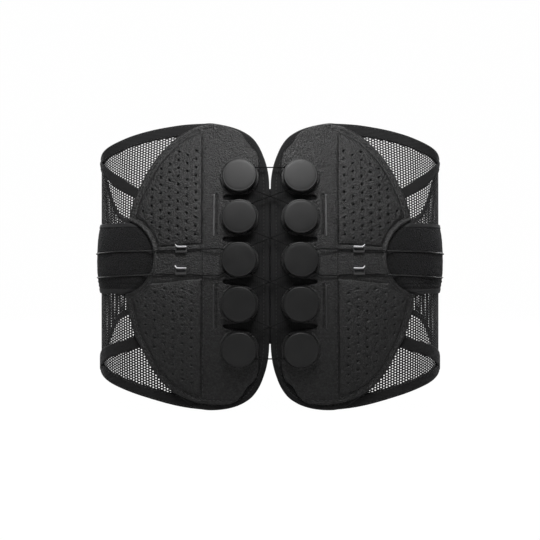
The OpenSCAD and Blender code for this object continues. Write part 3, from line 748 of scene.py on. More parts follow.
M = {
    "leather": mat_leather("cover_leather", base=0.014, rough=0.36),
    "rim": mat_leather("smooth_edge_leather", base=0.036, rough=0.36, grain=0.5, cavity=False),
    "panel": mat_woven("panel_fabric", base=0.020, warp=7.0, weft=7.0, bump=0.8),
    "panel_knit": mat_knit("panel_knit", base=0.020, pitch=1.5),
    "binding": mat_rib("binding_tape", base=0.016, along=0, pitch=1.0, cross=8.0),
    "mesh": mat_woven("mesh_fabric", base=0.028, warp=12.0, weft=12.0, bump=0.35, rough=0.7),
    "band": mat_rib("band_elastic", base=0.018, along=0, pitch=1.25),
    "diag": mat_woven("diagonal_webbing", base=0.018, warp=6.5, weft=6.5, diag=0.785, bump=0.8),
    "loop": mat_loop("loop_strap"),
    "hem": mat_rib("strap_hem", base=0.036, along=0, pitch=0.9, cross=7.0),
    "cord": mat_cord("braided_cord"),
    # painted shade: a slightly darker, matt copy of the braided cord, used where the cord lies in shade
    "lace": mat_cord("lacing_cord", base=0.013, rough=0.8),
    # painted light: one rib plastic in a light copy for the lit upper rib and a dark copy as painted shade for the
    # lower rib
    "rib": mat_plastic("cover_rib", base=0.16, rough=0.3, grain=0.15),
    "rib_shaded": mat_plastic("cover_rib_shaded", base=0.06, rough=0.3, grain=0.15),
    "cap": mat_plastic("cap_plastic", base=0.0165, rough=0.46, grain=0.35, speck=16.0),
    "plate": mat_plastic("plate_plastic", base=0.020, rough=0.45),
    # painted highlight: a light grey metal stands in for the bright glint along the top edge of each dark cord guide
    "guide": mat_metal("guide_painted_highlight", base=0.78, rough=0.45, stretch=1.0),
    "guide_dark": mat_plastic("guide_base", base=0.06, rough=0.35, grain=0.2),
    "sheave": mat_plastic("sheave_acetal", base=0.55, rough=0.3, grain=0.1),
    "steel": mat_metal("screw_steel"),
    "stay": mat_metal("stay_steel", base=0.45, rough=0.35),
    "thread": mat_cord("sewing_thread", base=0.035),
    "pad": mat_woven("pad_fabric", base=0.030, warp=5.0, weft=5.0, bump=0.9, sheen=0.35, obj=True),
    "pad_edge": mat_woven("pad_seam_fabric", base=0.018, warp=9.0, weft=9.0, obj=True),
    "pocket": mat_woven("pocket_tape", base=0.018, warp=8.0, weft=8.0, diag=0.785),
    "flap": mat_woven("flap_fabric", base=0.020, warp=6.0, weft=6.0, bump=0.8, sheen=0.3),
    "hook": mat_plastic("hook_nylon", base=0.012, rough=0.5, grain=0.9, speck=25.0),
    "handle": mat_woven("handle_fabric", base=0.020, warp=8.0, weft=8.0, bump=0.7, sheen=0.3, diag=0.785),
    "grommet": mat_plastic("grommet_plastic", base=0.035, rough=0.3),
    "knit": mat_knit("centre_knit", base=0.022, pitch=1.7),
}


def use(node, key):
    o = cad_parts[node]
    o.data.materials.clear()
    o.data.materials.append(M[key])
    o.data.polygons.foreach_set("use_smooth", [True] * len(o.data.polygons))


def keep_sharp(node):
    """A CAD node's own mesh stays; its edges are only marked for shading."""
    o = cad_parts[node]
    m = o.modifiers.new("edges", "EDGE_SPLIT")
    m.split_angle = math.radians(32)


def wing_blend(o):
    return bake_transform(o)


# ---------------------------------------------------------------- outlines of the back half
ARC = [(50, 125.2), (56.6, 124.6), (65.3, 122.1), (73.2, 118.3), (80.3, 114.3), (90.4, 104.8), (98.2, 96.6), (107.1, 83.2), (114.3, 68.7), (118.3, 59.6), (121.0, 49.7), (122.8, 41.5)]
ARC_LOW = [(124.9, -25.5), (122.6, -38.5), (116.6, -60.2), (111.0, -70.2), (103.0, -85.6), (95.9, -95.9), (87.3, -104.8), (77.3, -110.9), (68.0, -114.8),
           (59.3, -117.5), (50.7, -118.7), (42, -118.3), (34, -117.6)]


def cover_outline():
    cs, cz, cr = CUT
    a0 = math.atan2(40.0 - cz, 123.0 - cs)
    a1 = math.atan2(-24.0 - cz, 125.3 - cs)
    cut = [(cs + cr * math.cos(a), cz + cr * math.sin(a)) for a in np.linspace(a0, 2 * math.pi + a1, 60)]
    arc_up = soften(ARC, 0.8, 3.0, closed=False)
    arc_lo = soften(ARC_LOW, 0.8, 3.0, closed=False)
    r = 16.2
    left_edge = [(28.5, -115.1), (23.4, -110.2), (21.1, -105.4), (19.2, -102.4), (13.7, -98.1), (11.6, -94.6), (9.9, -87.8), (9.4, -80.9), (9.3, -74)]
    order = [4, 3, 2, 1, 0]
    for n, i in enumerate(order):
        zc = STATION_Z[i]
        a_start = -180 - 0 if n == 0 else -180 + 68
        a_end = -180 - 68 if n < 4 else -180
        for a in np.radians(np.linspace(a_start, a_end, 20)):
            left_edge.append((STATION_S + r * math.cos(a), zc + r * math.sin(a)))
        if n < 4:
            zs = SLOT_Z[3 - n]
            left_edge += [(33, zs - 2.1), (38.0, zs - 1.9), (39.4, zs - 1.1), (39.7, zs), (39.4, zs + 1.1), (38.0, zs + 1.9), (33, zs + 2.1)]
    left_edge += [(9.2, 84.9), (9.6, 92), (11.0, 98.2), (15.3, 103.6), (19.6, 108.6), (21.3, 112.3), (24.5, 116), (30, 119.5), (36.5, 122), (43, 124.2)]
    edge = soften(left_edge, 0.5, 0.55, closed=False)
    loop = np.vstack([arc_up, np.array(cut), arc_lo, edge])
    loop = resample(loop, 1.0)
    return ccw(loop), np.vstack([arc_up]), np.vstack([arc_lo]), np.array(cut)


COVER_LOOP, ARC_U, ARC_D, CUT_LINE = cover_outline()
STEP = [(59.2, 121), (58.9, 110.5), (58.1, 60.6), (57.9, 0), (58.1, -40), (59.3, -109.8), (59.6, -117)]


def cover_fields(v):
    """Relief of the leather cover, in mm, at points (s, z)."""
    s, z = v[:, 0], v[:, 1]
    edge = dist_to(v, COVER_LOOP)
    arc = np.minimum(dist_to(v, ARC_U, False), dist_to(v, ARC_D, False))
    cut = np.abs(np.hypot(s - CUT[0], z - CUT[1]) - CUT[2])
    step = s - table(z, [(b, a) for a, b in STEP])
    up = np.minimum.reduce([arc - 6.6, step, cut - 6.0, z - (19.5 - 2.0 * ease((s - 60) / 40))])
    lo = np.minimum.reduce([arc - 6.6, step, cut - 6.0, (-11.5 - 3.5 * ease((s - 60) / 40)) - z])
    h = 0.75 * ease((up + 0.35) / 0.9) + 0.75 * ease((lo + 0.35) / 0.9)
    fill = np.clip(np.maximum(up, lo), 0, None)
    h += 1.25 * (1 - np.exp(-fill / 9.0)) * ease(fill / 4.0)
    h -= 0.9 * ease((s - 36) / 20) * (1 - ease((step + 1.0) / 1.2))
    # seam at the foot of the raised fields
    h -= 0.38 * np.exp(-((np.abs(up + 0.7)) / 0.45) ** 2) + 0.38 * np.exp(-((np.abs(lo + 0.7)) / 0.45) ** 2)
    # rolled outer border and its stitch channel
    h += 0.30 * np.exp(-((arc - 1.8) / 1.1) ** 2) - 0.28 * np.exp(-((arc - 3.9) / 0.6) ** 2)
    # rim of the side cutout
    h += 0.75 * np.exp(-((cut - 1.7) / 1.15) ** 2) - 0.30 * np.exp(-((cut - 4.0) / 0.6) ** 2)
    # ring pressed round each cap
    for zc in STATION_Z:
        r = np.hypot(s - STATION_S, z - zc)
        h += 0.42 * np.exp(-((r - 16.2) / 0.5) ** 2) - 0.25 * np.exp(-((r - 17.6) / 0.7) ** 2) * (s > STATION_S - 2)
    # two upright moulded grooves
    for z0, z1 in ((26.0, 62.0), (-53.0, -15.7)):
        dz = np.maximum(np.maximum(z0 - z, z - z1), 0)
        q = np.hypot(s - 47.2, dz)
        q1 = np.hypot(s - 45.7, dz)
        h += -0.8 * np.exp(-(q1 / 0.6) ** 4) + 0.15 * np.exp(-(q / 0.9) ** 2)
    # seam down the length of the finger area
    h -= 0.12 * np.exp(-((s - 42.6) / 0.5) ** 2) * (np.abs(z) < 66)
    # edge rolls down all round
    t = np.clip(edge / 1.25, 0, 1)
    h -= 1.15 * (1 - np.sqrt(1 - (1 - t) ** 2))
    return h


def perforations():
    pts = []
    for i in range(9):
        s = 63.0 + 7.75 * i
        for k in range(16):
            pts.append((s, (100.4 if i % 2 == 0 else 97.1) - 0.2 * i - 7.3 * k, 0))
        for k in range(16):
            pts.append((66.0 + 8.0 * i, (-22.7 if i % 2 == 0 else -19.2) - 7.7 * k, 1))
    pts = np.array(pts)
    p = pts[:, :2]
    arc = np.minimum(dist_to(p, ARC_U, False), dist_to(p, ARC_D, False))
    cut = np.hypot(p[:, 0] - CUT[0], p[:, 1] - CUT[1]) - CUT[2]
    ok = inside(p, COVER_LOOP) & (arc > 9.6) & (cut > 8.5)
    ok &= ((pts[:, 2] == 0) & (p[:, 1] > 22.0)) | ((pts[:, 2] == 1) & (p[:, 1] < -17.5))
    return p[ok]


PERF = perforations()


def build_cover():
    feats = []
    for e in (1.8, 2.8, 3.3, 3.9, 4.5, 5.4, 5.9, 6.25, 6.6, 7.1):
        for line in (ARC_U, ARC_D):
            q = resample(line, 1.1, False)
            t = np.gradient(q, axis=0)
            t /= np.linalg.norm(t, axis=1)[:, None]
            n = np.stack([t[:, 1], -t[:, 0]], -1)
            feats.append(q + n * e)
    for e in (0.9, 1.7, 2.5, 3.3, 4.0, 4.7, 5.3, 5.7, 6.1, 6.6):
        a = np.linspace(0, 2 * math.pi, 200)
        feats.append(np.stack([CUT[0] + (CUT[2] + e) * np.cos(a), CUT[1] + (CUT[2] + e) * np.sin(a)], -1))
    zz = np.arange(-114, 115, 1.1)
    for e in (-1.5, -1.1, -0.7, -0.35, 0.1, 0.5, 1.0):
        feats.append(np.stack([table(zz, [(b, a) for a, b in STEP]) + e, zz], -1))
    for zc in STATION_Z:
        a = np.linspace(0, 2 * math.pi, 96, endpoint=False)
        for r in (15.4, 15.8, 16.2, 16.6, 17.1, 17.6, 18.2):
            feats.append(np.stack([STATION_S + r * np.cos(a), zc + r * np.sin(a)], -1))
    for z0, z1 in ((26.0, 62.0), (-53.0, -15.7)):
        zl = np.arange(z0 - 2.4, z1 + 2.5, 0.8)
        for ds in (-2.2, -1.7, -1.3, -0.9, -0.5, 0, 0.5, 0.9, 1.3, 1.7, 2.2):
            feats.append(np.stack([np.full_like(zl, 47.2 + ds), zl], -1))
    for ss0 in np.arange(58, 118, 1.2):
        a = 60.0
        zu = 19.5 - 2.0 * ease((ss0 - a) / 40)
        zd = -11.5 - 3.5 * ease((ss0 - a) / 40)
        for e in (-1.2, -0.8, -0.45, -0.1, 0.3, 0.7):
            feats.append(np.array([(ss0, zu + e), (ss0, zd - e)]))
    fe = np.concatenate(feats)
    if len(PERF):
        dd = np.full(len(fe), 1e9)
        for i in range(0, len(fe), 4000):
            dd[i:i + 4000] = np.sqrt(((fe[i:i + 4000, None, :] - PERF[None]) ** 2).sum(2)).min(1)
        fe = fe[dd > 1.35]
    pf = []
    for c in PERF:
        pf.append([c])
        for r, k in ((0.42, 6), (0.72, 8), (0.98, 10), (1.25, 10)):
            a = np.linspace(0, 2 * math.pi, k, endpoint=False) + r
            pf.append(np.stack([c[0] + r * np.cos(a), c[1] + r * np.sin(a)], -1))
    pf = np.concatenate(pf)
    v, f = region(COVER_LOOP, 1.9, np.concatenate([pf, fe]), rings=(0.22, 0.5, 0.85, 1.25))
    h = cover_fields(v)
    dd = np.full(len(v), 1e9)
    near = np.zeros(len(v), int)
    for i in range(0, len(v), 4000):
        q = np.sqrt(((v[i:i + 4000, None, :] - PERF[None]) ** 2).sum(2))
        dd[i:i + 4000] = q.min(1)
        near[i:i + 4000] = q.argmin(1)
    hc = cover_fields(PERF)
    m = dd < 1.4
    low = ease((8 - v[:, 1]) / 20)
    bowl = -(1.3 - 0.40 * low) * (1 - ease((dd - 0.45) / 0.65)) + 0.10 * np.exp(-((dd - 1.25) / 0.22) ** 2)
    h = np.where(m, hc[near] + bowl, h)
    # painted shade in the perforations: near-black, strongest at the top of the upper field and weaker lower down the
    # panel
    cav = np.clip(1 - (dd - 0.72) / 0.36, 0, 1) * (0.97 - 0.30 * ease((50 - v[:, 1]) / 26) - 0.30 * low)
    seam = v[:, 0] - table(v[:, 1], [(b, a) for a, b in STEP])
    # painted shade along the seam at the foot of the raised field, weaker toward the bottom
    cav = np.maximum(cav, 0.75 * np.exp(-((seam + 0.7) / 0.55) ** 2) * (np.abs(v[:, 1]) < 112) * (0.35 + 0.65 * ease((v[:, 1] + 40) / 60)))
    arc = np.minimum(dist_to(v, ARC_U, False), dist_to(v, ARC_D, False))
    # painted shade in the border's stitch channel
    cav = np.maximum(cav, 0.5 * np.exp(-((arc - 3.9) / 0.6) ** 2) * (arc < 6))
    return v, f, h, cav


cv, cf, ch, cav = build_cover()
for name, side in SIDES:
    # the vertex attribute carries the painted shade into the leather colour
    o = panel(name + "_leather_cover", cv, cf, 3.75, 5.55 + ch, side, M["leather"], attrs={"cavity": cav})
    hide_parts(name + "_cover")
    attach(o, name + "_back")


def cover_top(s, z):
    v = np.stack([np.atleast_1d(s), np.atleast_1d(z)], -1)
    return 5.55 + cover_fields(v)


for name, side in SIDES:
    # the upper rib takes the light, lit copy and the lower rib the dark, shaded copy
    for z0, z1, part, mat in ((26.0, 62.0, "upper", "rib"), (-53.0, -15.7, "lower", "rib_shaded")):
        zz = np.linspace(z0, z1, 60)
        rr = 0.62 * np.sqrt(np.clip(1 - np.clip((1.2 - np.minimum(zz - z0, z1 - zz)) / 1.2, 0, 1) ** 2, 0.05, 1))
        o = join(name + "_cover_rib_" + part, [tube("rib", shell(np.full_like(zz, 47.3), zz, 5.78 + 0.25 * rr, side), 0.00060, M[mat], k=10)])
        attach(o, name + "_back")


for name, side in SIDES:
    lines = []
    for line in (ARC_U, ARC_D):
        q = resample(line, 0.8, False)
        t = np.gradient(q, axis=0)
        t /= np.linalg.norm(t, axis=1)[:, None]
        n = np.stack([t[:, 1], -t[:, 0]], -1)
        lines.append((q + n * 3.9)[3:-6])
    a = np.linspace(math.radians(118), math.radians(244), 90)
    lines.append(np.stack([CUT[0] + (CUT[2] + 4.0) * np.cos(a), CUT[1] + (CUT[2] + 4.0) * np.sin(a)], -1))
    zz = np.linspace(109, -110, 120)
    lines.append(np.stack([table(zz, [(b, a2) for a2, b in STEP]) - 1.9, zz], -1))
    parts = [stitches("st", ln, 2.3, 1.3, 0.55, cover_top, side, M["thread"]) for ln in lines]
    o = join(name + "_cover_stitching", parts)
    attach(o, name + "_back")

# ---------------------------------------------------------------- base panel, its knitted face and bound edge
INNER = [(52, 126.2), (43.5, 124.6), (35, 122.6), (26, 119.4), (17.2, 114), (12.8, 109.3), (8.5, 102), (4, 90.4), (2, 82), (0.9, 73.5), (0.9, -70), (2, -80),
         (4, -89), (8.3, -101), (12.5, -108), (16.8, -113), (25.3, -118.3), (34, -121.3), (42, -122.7), (50, -123.3)]
OUTER = [(57, -123.1), (65, -121), (71, -117.2), (77.3, -112), (87.3, -105.8), (96, -96.6), (103, -86.2), (111, -70.8), (116.5, -60.5), (121.6, -38.5), (122.2, -24.8),
         (122.2, 40), (121, 50), (118, 60.5), (114.2, 69.3), (107, 84), (98.2, 97.6), (90.4, 105.5), (80.3, 115.2), (73.2, 119.2), (65.3, 123.2), (58, 125.9)]
BASE_LOOP = ccw(soften(np.array(INNER + OUTER), 1.0, 3.0))


def build_base():
    feats = []
    for e in (5.2, 6.2, 7.2):
        feats.append(offset(BASE_LOOP, e))
    v, f = region(BASE_LOOP, 4.0, np.concatenate(feats), rings=(0.4, 1.0, 1.8, 3.0))
    e = dist_to(v, BASE_LOOP)
    t = np.clip(e / 2.2, 0, 1)
    roll = 1 - np.sqrt(1 - (1 - t) ** 2)
    d_out = 3.4 - 1.5 * roll - 0.25 * np.exp(-((e - 7.0) / 0.8) ** 2)
    d_in = 0.15 + 1.4 * roll + 0.3 * np.exp(-((e - 7.0) / 0.8) ** 2) - 0.12 * np.sin(v[:, 0] * 0.9) * np.sin(v[:, 1] * 0.9) * (e > 9)
    return v, f, d_in, d_out


bv, bf, b_in, b_out = build_base()


def sweep_binding(name, loop, side, mat, width=6.5, t_out=3.55, t_in=-0.12, puff=0.55):
    """Tape folded over the edge of a panel: a section of (inset, depth) swept round the loop."""
    lp = ccw(resample(loop, 1.2))
    sec = [(width, t_out - 0.35), (width - 0.35, t_out + 0.15), (width - 1.2, t_out + 0.30), (width * 0.5, t_out + puff * 0.8), (1.2, t_out + puff * 0.55), (0.15, t_out - 0.3),
           (-0.35, (t_out + t_in) / 2), (0.15, t_in + 0.3), (1.2, t_in - puff * 0.35), (width * 0.5, t_in - puff * 0.5), (width - 1.2, t_in - 0.2), (width - 0.3, t_in - 0.05),
           (width, t_in + 0.35), (width * 0.7, 0.5 * (t_out + t_in))]
    k, n = len(sec), len(lp)
    verts, uvs, faces = [], [], []
    seg = np.concatenate([[0], np.cumsum(np.linalg.norm(np.diff(lp, axis=0), axis=1))])
    a, b = np.roll(lp, 1, 0), np.roll(lp, -1, 0)
    t = b - a
    t /= np.linalg.norm(t, axis=1)[:, None]
    nr = np.stack([-t[:, 1], t[:, 0]], -1)
    for j, (w, d) in enumerate(sec):
        q = lp + nr * w
        verts.append(shell(q[:, 0], q[:, 1], d, side))
        uvs.append(np.stack([seg * 0.1, np.full(n, j * 0.13)], -1))
    verts, uvs = np.concatenate(verts), np.concatenate(uvs)
    for j in range(k):
        j2 = (j + 1) % k
        for i in range(n):
            i2 = (i + 1) % n
            faces.append((j * n + i, j * n + i2, j2 * n + i2, j2 * n + i))
    return fix_normals(make(name, verts, faces, mat, uvs))


for name, side in SIDES:
    o = panel(name + "_base_fabric", bv, bf, b_in, b_out, side, M["panel_knit"])
    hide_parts(name + "_base_panel")
    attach(o, name + "_back")
    o = sweep_binding(name + "_base_binding", BASE_LOOP, side, M["binding"], width=5.2, t_out=3.25)
    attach(o, name + "_back")
    lp = offset(BASE_LOOP, 4.3)
    o = stitches(name + "_binding_stitching", lp, 2.0, 1.1, 0.45, lambda s, z: np.full(np.shape(s), 3.62), side, M["thread"], height=0.2)
    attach(o, name + "_back")


# ---------------------------------------------------------------- pulley caps
def station(i, side):
    """Origin and axes (u toward the side, v up, n outward) of a pulley station, in metres."""
    s, z = STATION_S, STATION_Z[i]
    a = float(psi(s))
    t = math.atan((z + 40) / 460)
    c = shell(s, z, 6.0, side)
    u = np.array([side * math.cos(a), math.sin(a), 0])
    v = np.array([-side * math.sin(a) * math.sin(t), math.cos(a) * math.sin(t), math.cos(t)])
    n = np.array([side * math.sin(a) * math.cos(t), -math.cos(a) * math.cos(t), math.sin(t)])
    return c, u, v, n


def lathe(name, c, u, v, n, prof, mat, k=96, low=None, side=1.0):
    """A turned shape: prof is (radius, height) in mm; low(angle) raises the skirt's foot over a window."""
    ang = np.linspace(0, 2 * math.pi, k, endpoint=False)
    verts, uvs, faces = [], [], []
    for r, h in prof:
        for a in ang:
            hh = h if low is None else max(h, low(a))
            verts.append(c + 0.001 * (r * math.cos(a) * u + r * math.sin(a) * v + hh * n))
            uvs.append((r * math.cos(a) * 0.1, r * math.sin(a) * 0.1))
    m = len(prof)
    for j in range(m - 1):
        for i in range(k):
            i2 = (i + 1) % k
            faces.append((j * k + i, j * k + i2, (j + 1) * k + i2, (j + 1) * k + i))
    top, bot = len(verts), len(verts) + 1
    r0, h0 = prof[0]
    r1, h1 = prof[-1]
    verts += [c + 0.001 * h0 * n, c + 0.001 * h1 * n]
    uvs += [(0, 0), (0, 0)]
    for i in range(k):
        i2 = (i + 1) % k
        faces.append((top, i2, i))
        faces.append((bot, (m - 1) * k + i, (m - 1) * k + i2))
    return fix_normals(make(name, np.array(verts), faces, mat, np.array(uvs)))


CAP_PROFILE = [(2, 6.42), (5, 6.40), (8, 6.34), (10.5, 6.26), (12.4, 6.18), (12.9, 6.12), (13.2, 6.02), (13.5, 6.03), (13.9, 6.08), (14.3, 6.0), (14.6, 5.75), (14.8, 5.35), (14.85, 4.3), (14.85, 3.2), (14.85, 2.0), (14.9, 1.25),
               (14.3, 1.08), (13.4, 1.08), (13.2, 1.4), (13.2, 3.0), (13.2, 4.6), (12.9, 5.0), (12.0, 5.2), (6, 5.2), (1, 5.2)]


def window(i):
    def low(a):
        x, y = math.cos(a) * 14.5, math.sin(a) * 14.5
        if abs(y) < 12.9 and (x < -3 or (i == 2 and x > 3)):
            return 4.32
        return -9
    return low


for name, side in SIDES:
    parts = []
    for i in range(5):
        c, u, v, n = station(i, side)
        parts.append(lathe("cap", c, u, v, n, CAP_PROFILE, M["cap"], k=120, low=window(i)))
    o = join(name + "_caps", parts)
    fix_normals(o)
    sharp(o, 50)
    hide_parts(name + "_pulley_caps")
    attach(o, name + "_back")
    use(name + "_pulley_plates", "plate")
    use(name + "_sheave_screws", "steel")
    for q in ("1", "2", "3_outer", "3_inner", "4", "5"):
        use(f"{name}_sheave_{q}", "sheave")
        keep_sharp(f"{name}_sheave_{q}")
    keep_sharp(name + "_pulley_plates")
    keep_sharp(name + "_sheave_screws")
    use(name + "_back_stays", "stay")
    keep_sharp(name + "_back_stays")


# ---------------------------------------------------------------- cord guides
def rounded_bar(c, u, v, n, x0, x1, y, h, ry, rh, mat, name="bar", k=12, tick=0.0):
    """A rounded bar along u from x0 to x1 (mm), its section ry by rh at (y, h); the outer end may turn up by tick."""
    xs = np.concatenate([x0 + (x1 - x0) * np.array([0, 0.02, 0.06]), np.linspace(x0 + 0.1 * (x1 - x0), x1 - 0.1 * (x1 - x0), 9), x1 - (x1 - x0) * np.array([0.06, 0.02, 0])])
    e = np.minimum(xs - x0, x1 - xs) / min(ry, rh)
    sc = np.sqrt(np.clip(1 - (1 - np.clip(e, 0, 1)) ** 2, 0.02, 1))
    verts, uvs, faces = [], [], []
    for x, q in zip(xs, sc):
        lift = tick * ease((x - x1 + 2.2) / 2.0)
        for j in range(k):
            a = 2 * math.pi * j / k
            ca, sa = math.cos(a), math.sin(a)
            ca, sa = math.copysign(abs(ca) ** 0.6, ca), math.copysign(abs(sa) ** 0.6, sa)
            verts.append(c + 0.001 * (x * u + (y + lift + q * ry * ca) * v + (h + q * rh * sa) * n))
            uvs.append((x * 0.1, a * 0.1))
    m = len(xs)
    for i in range(m - 1):
        for j in range(k):
            a, b = i * k + j, i * k + (j + 1) % k
            faces.append((a, b, b + k, a + k))
    faces.append(tuple(range(k))[::-1])
    faces.append(tuple((m - 1) * k + j for j in range(k)))
    return fix_normals(make(name, np.array(verts), faces, mat, np.array(uvs)))


GUIDE_Z = (15.1, -3.8)
CORD_Z = (13.9, -5.6)


def seat(s, z, d, side):
    a = float(psi(s))
    w = float(1 - ease((a - P1) / (math.pi / 2 - P1)))
    t = math.atan(w * (z + 40) / 460)
    c = shell(s, z, d, side)
    u = np.array([side * math.cos(a), math.sin(a), 0])
    v = np.array([-side * math.sin(a) * math.sin(t), math.cos(a) * math.sin(t), math.cos(t)])
    n = np.array([side * math.sin(a) * math.cos(t), -math.cos(a) * math.cos(t), math.sin(t)])
    return c, u, v, n


for name, side in SIDES:
    highlight_bars, dark = [], []
    for gz, cz in zip(GUIDE_Z, CORD_Z):
        c, u, v, n = seat(75, gz, 5.9, side)
        # the light top bar of each guide is a painted highlight
        highlight_bars.append(rounded_bar(c, u, v, n, -5.1, 5.4, 1.5 if gz > 0 else 2.2, 1.9, 0.8, 0.8, M["guide"], tick=1.9))
        dark.append(rounded_bar(c, u, v, n, -5.0, 5.0, -2.6, 1.3, 0.95, 0.6, M["guide_dark"]))
        dark.append(rounded_bar(c, u, v, n, -5.0, 5.0, 0.0, 0.25, 3.3, 0.35, M["guide_dark"]))
        for x in (-4.55, 4.55):
            dark.append(rounded_bar(c, v, u, n, -3.2, 3.0, x, 1.0, 0.5, 0.75, M["guide_dark"]))
    o = join(name + "_guide_highlight_lips", highlight_bars)
    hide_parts(name + "_cord_guides")
    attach(o, name + "_back")
    o = join(name + "_guide_bodies", dark)
    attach(o, name + "_back")


# ---------------------------------------------------------------- wing mesh: a sheet knitted with open six-sided holes
PS, PZ = 2.58, 2.32
MESH_S0, MESH_S1 = 50.0, 304.0


def mesh_edge_in(z):
    """Where the mesh meets the base panel."""
    lp = OUTER
    zz = np.array([p[1] for p in lp])
    ss = np.array([p[0] for p in lp])
    o = np.argsort(zz)
    return np.interp(z, zz[o], ss[o])


def build_mesh(side, name):
    ni = int((MESH_S1 - MESH_S0) / PS) + 1
    j0, j1 = int(-124 / PZ), int(127 / PZ) + 1
    nj = j1 - j0 + 1
    I, J = np.meshgrid(np.arange(ni), np.arange(nj), indexing="ij")
    S = MESH_S0 + I * PS
    Z = (J + j0 + 0.5 * (I % 2)) * PZ
    ok = (Z < wing_top(S) - 3.2) & (Z > wing_bottom(S) + 3.2) & (S > mesh_edge_in(Z) - 3.0) & (S < MESH_S1 - 1)
    mid = 7.0 * (1 - ease((S - 190) / 90))
    solid = (np.abs(Z - mid) < 26.0)
    rim = 8.2 - 5.0 * ease((S - 178) / 16)
    solid |= (Z > wing_top(S) - rim) | (Z < wing_bottom(S) + rim) | (S > 299) | (S < mesh_edge_in(Z) - 0.5)
    dirs = np.array([(0.30, 0.42), (0.55, 0.0), (0.30, -0.42), (-0.30, -0.42), (-0.55, 0.0), (-0.30, 0.42)])  # RU R RD LD L LU
    dirs = dirs * np.array([PS, PZ])
    idx = -np.ones(ok.shape, int)
    idx[ok] = np.arange(ok.sum())
    s0, z0 = S[ok], Z[ok]
    q = (0.575 + 0.085 * ease((z0 + 60) / 60) + 0.10 * ease((s0 - 128) / 25) + 0.09 * ease((s0 - 185) / 15))[:, None]
    vs = (s0[:, None] + q * dirs[None, :, 0]).ravel()
    vz = (z0[:, None] + q * dirs[None, :, 1]).ravel()
    n = len(vs)
    D = 1.2
    d_out = np.full(n, 1.60)
    d_in = np.full(n, 1.12)
    RU, R, RD, LD, L, LU = range(6)

    def nb(di, dj_even, dj_odd):
        out = -np.ones(ok.shape, int)
        for par, dj in ((0, dj_even), (1, dj_odd)):
            ii, jj = np.nonzero((I % 2 == par))
            i2, j2 = ii + di, jj + dj
            g = (i2 >= 0) & (i2 < ni) & (j2 >= 0) & (j2 < nj)
            out[ii[g], jj[g]] = idx[i2[g], j2[g]]
        return out
    up = nb(0, 1, 1)
    ru = nb(1, 0, 1)
    rd = nb(1, -1, 0)
    h = idx
    faces4, faces3 = [], []

    def quad(mask, *cols):
        faces4.append(np.stack([c[mask] * 6 + k for c, k in cols], -1))

    def tri(mask, *cols):
        faces3.append(np.stack([c[mask] * 6 + k for c, k in cols], -1))
    m = (h >= 0) & (up >= 0)
    quad(m, (h, LU), (h, RU), (up, RD), (up, LD))
    m = (h >= 0) & (ru >= 0)
    quad(m, (h, R), (ru, LD), (ru, L), (h, RU))
    m = (h >= 0) & (rd >= 0)
    quad(m, (h, RD), (rd, L), (rd, LU), (h, R))
    m = (h >= 0) & (rd >= 0) & (ru >= 0)
    tri(m, (h, R), (rd, LU), (ru, LD))
    m = (h >= 0) & (ru >= 0) & (up >= 0)
    tri(m, (h, RU), (ru, L), (up, RD))
    f4, f3 = np.concatenate(faces4), np.concatenate(faces3)
    sol = h[ok & solid]
    f6 = sol[:, None] * 6 + np.array([RU, LU, L, LD, RD, R])[None, :]
    opn = h[ok & ~solid]
    rim = []
    for a, b in ((RU, R), (R, RD), (RD, LD), (LD, L), (L, LU), (LU, RU)):
        va, vb = opn * 6 + a, opn * 6 + b
        rim.append(np.stack([va, vb, vb + n, va + n], -1))
    rim = np.concatenate(rim)
    faces = [tuple(x) for x in f4] + [tuple(x) for x in f3] + [tuple(x) for x in f6]
    faces += [tuple(x[::-1] + n) for x in f4] + [tuple(x[::-1] + n) for x in f3] + [tuple(x[::-1] + n) for x in f6]
    faces += [tuple(x[::-1]) for x in rim]
    verts = np.concatenate([shell(vs, vz, d_out, side), shell(vs, vz, d_in, side)])
    uv = np.stack([np.concatenate([vs, vs]), np.concatenate([vz, vz])], -1) * 0.1
    o = make(name, verts, flip_if(faces, side), M["mesh"], uv, smooth=False)
    bm = bmesh.new()
    bm.from_mesh(o.data)
    edges = [e for e in bm.edges if e.is_boundary]
    used = {}
    for e in edges:
        a, b = sorted((e.verts[0].index % n, e.verts[1].index % n))
        used.setdefault((a, b), []).append(e)
    bm.verts.ensure_lookup_table()
    for (a, b), es in used.items():
        if len(es) == 2:
            try:
                bm.faces.new((bm.verts[a], bm.verts[b], bm.verts[b + n], bm.verts[a + n]))
            except ValueError:
                pass
    loose = [v for v in bm.verts if not v.link_faces]
    bmesh.ops.delete(bm, geom=loose, context="VERTS")
    bmesh.ops.recalc_face_normals(bm, faces=bm.faces)
    bm.to_mesh(o.data)
    bm.free()
    return o


for name, side in SIDES:
    o = build_mesh(side, name + "_mesh_wing")
    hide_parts(name + "_wing_mesh", name + "_wing_root")
    wing_blend(o)


# ---------------------------------------------------------------- edge bands, diagonals, straps
def rib_relief(pitch, depth):
    return lambda S, Z, t: depth * np.sin(2 * math.pi * Z / pitch)


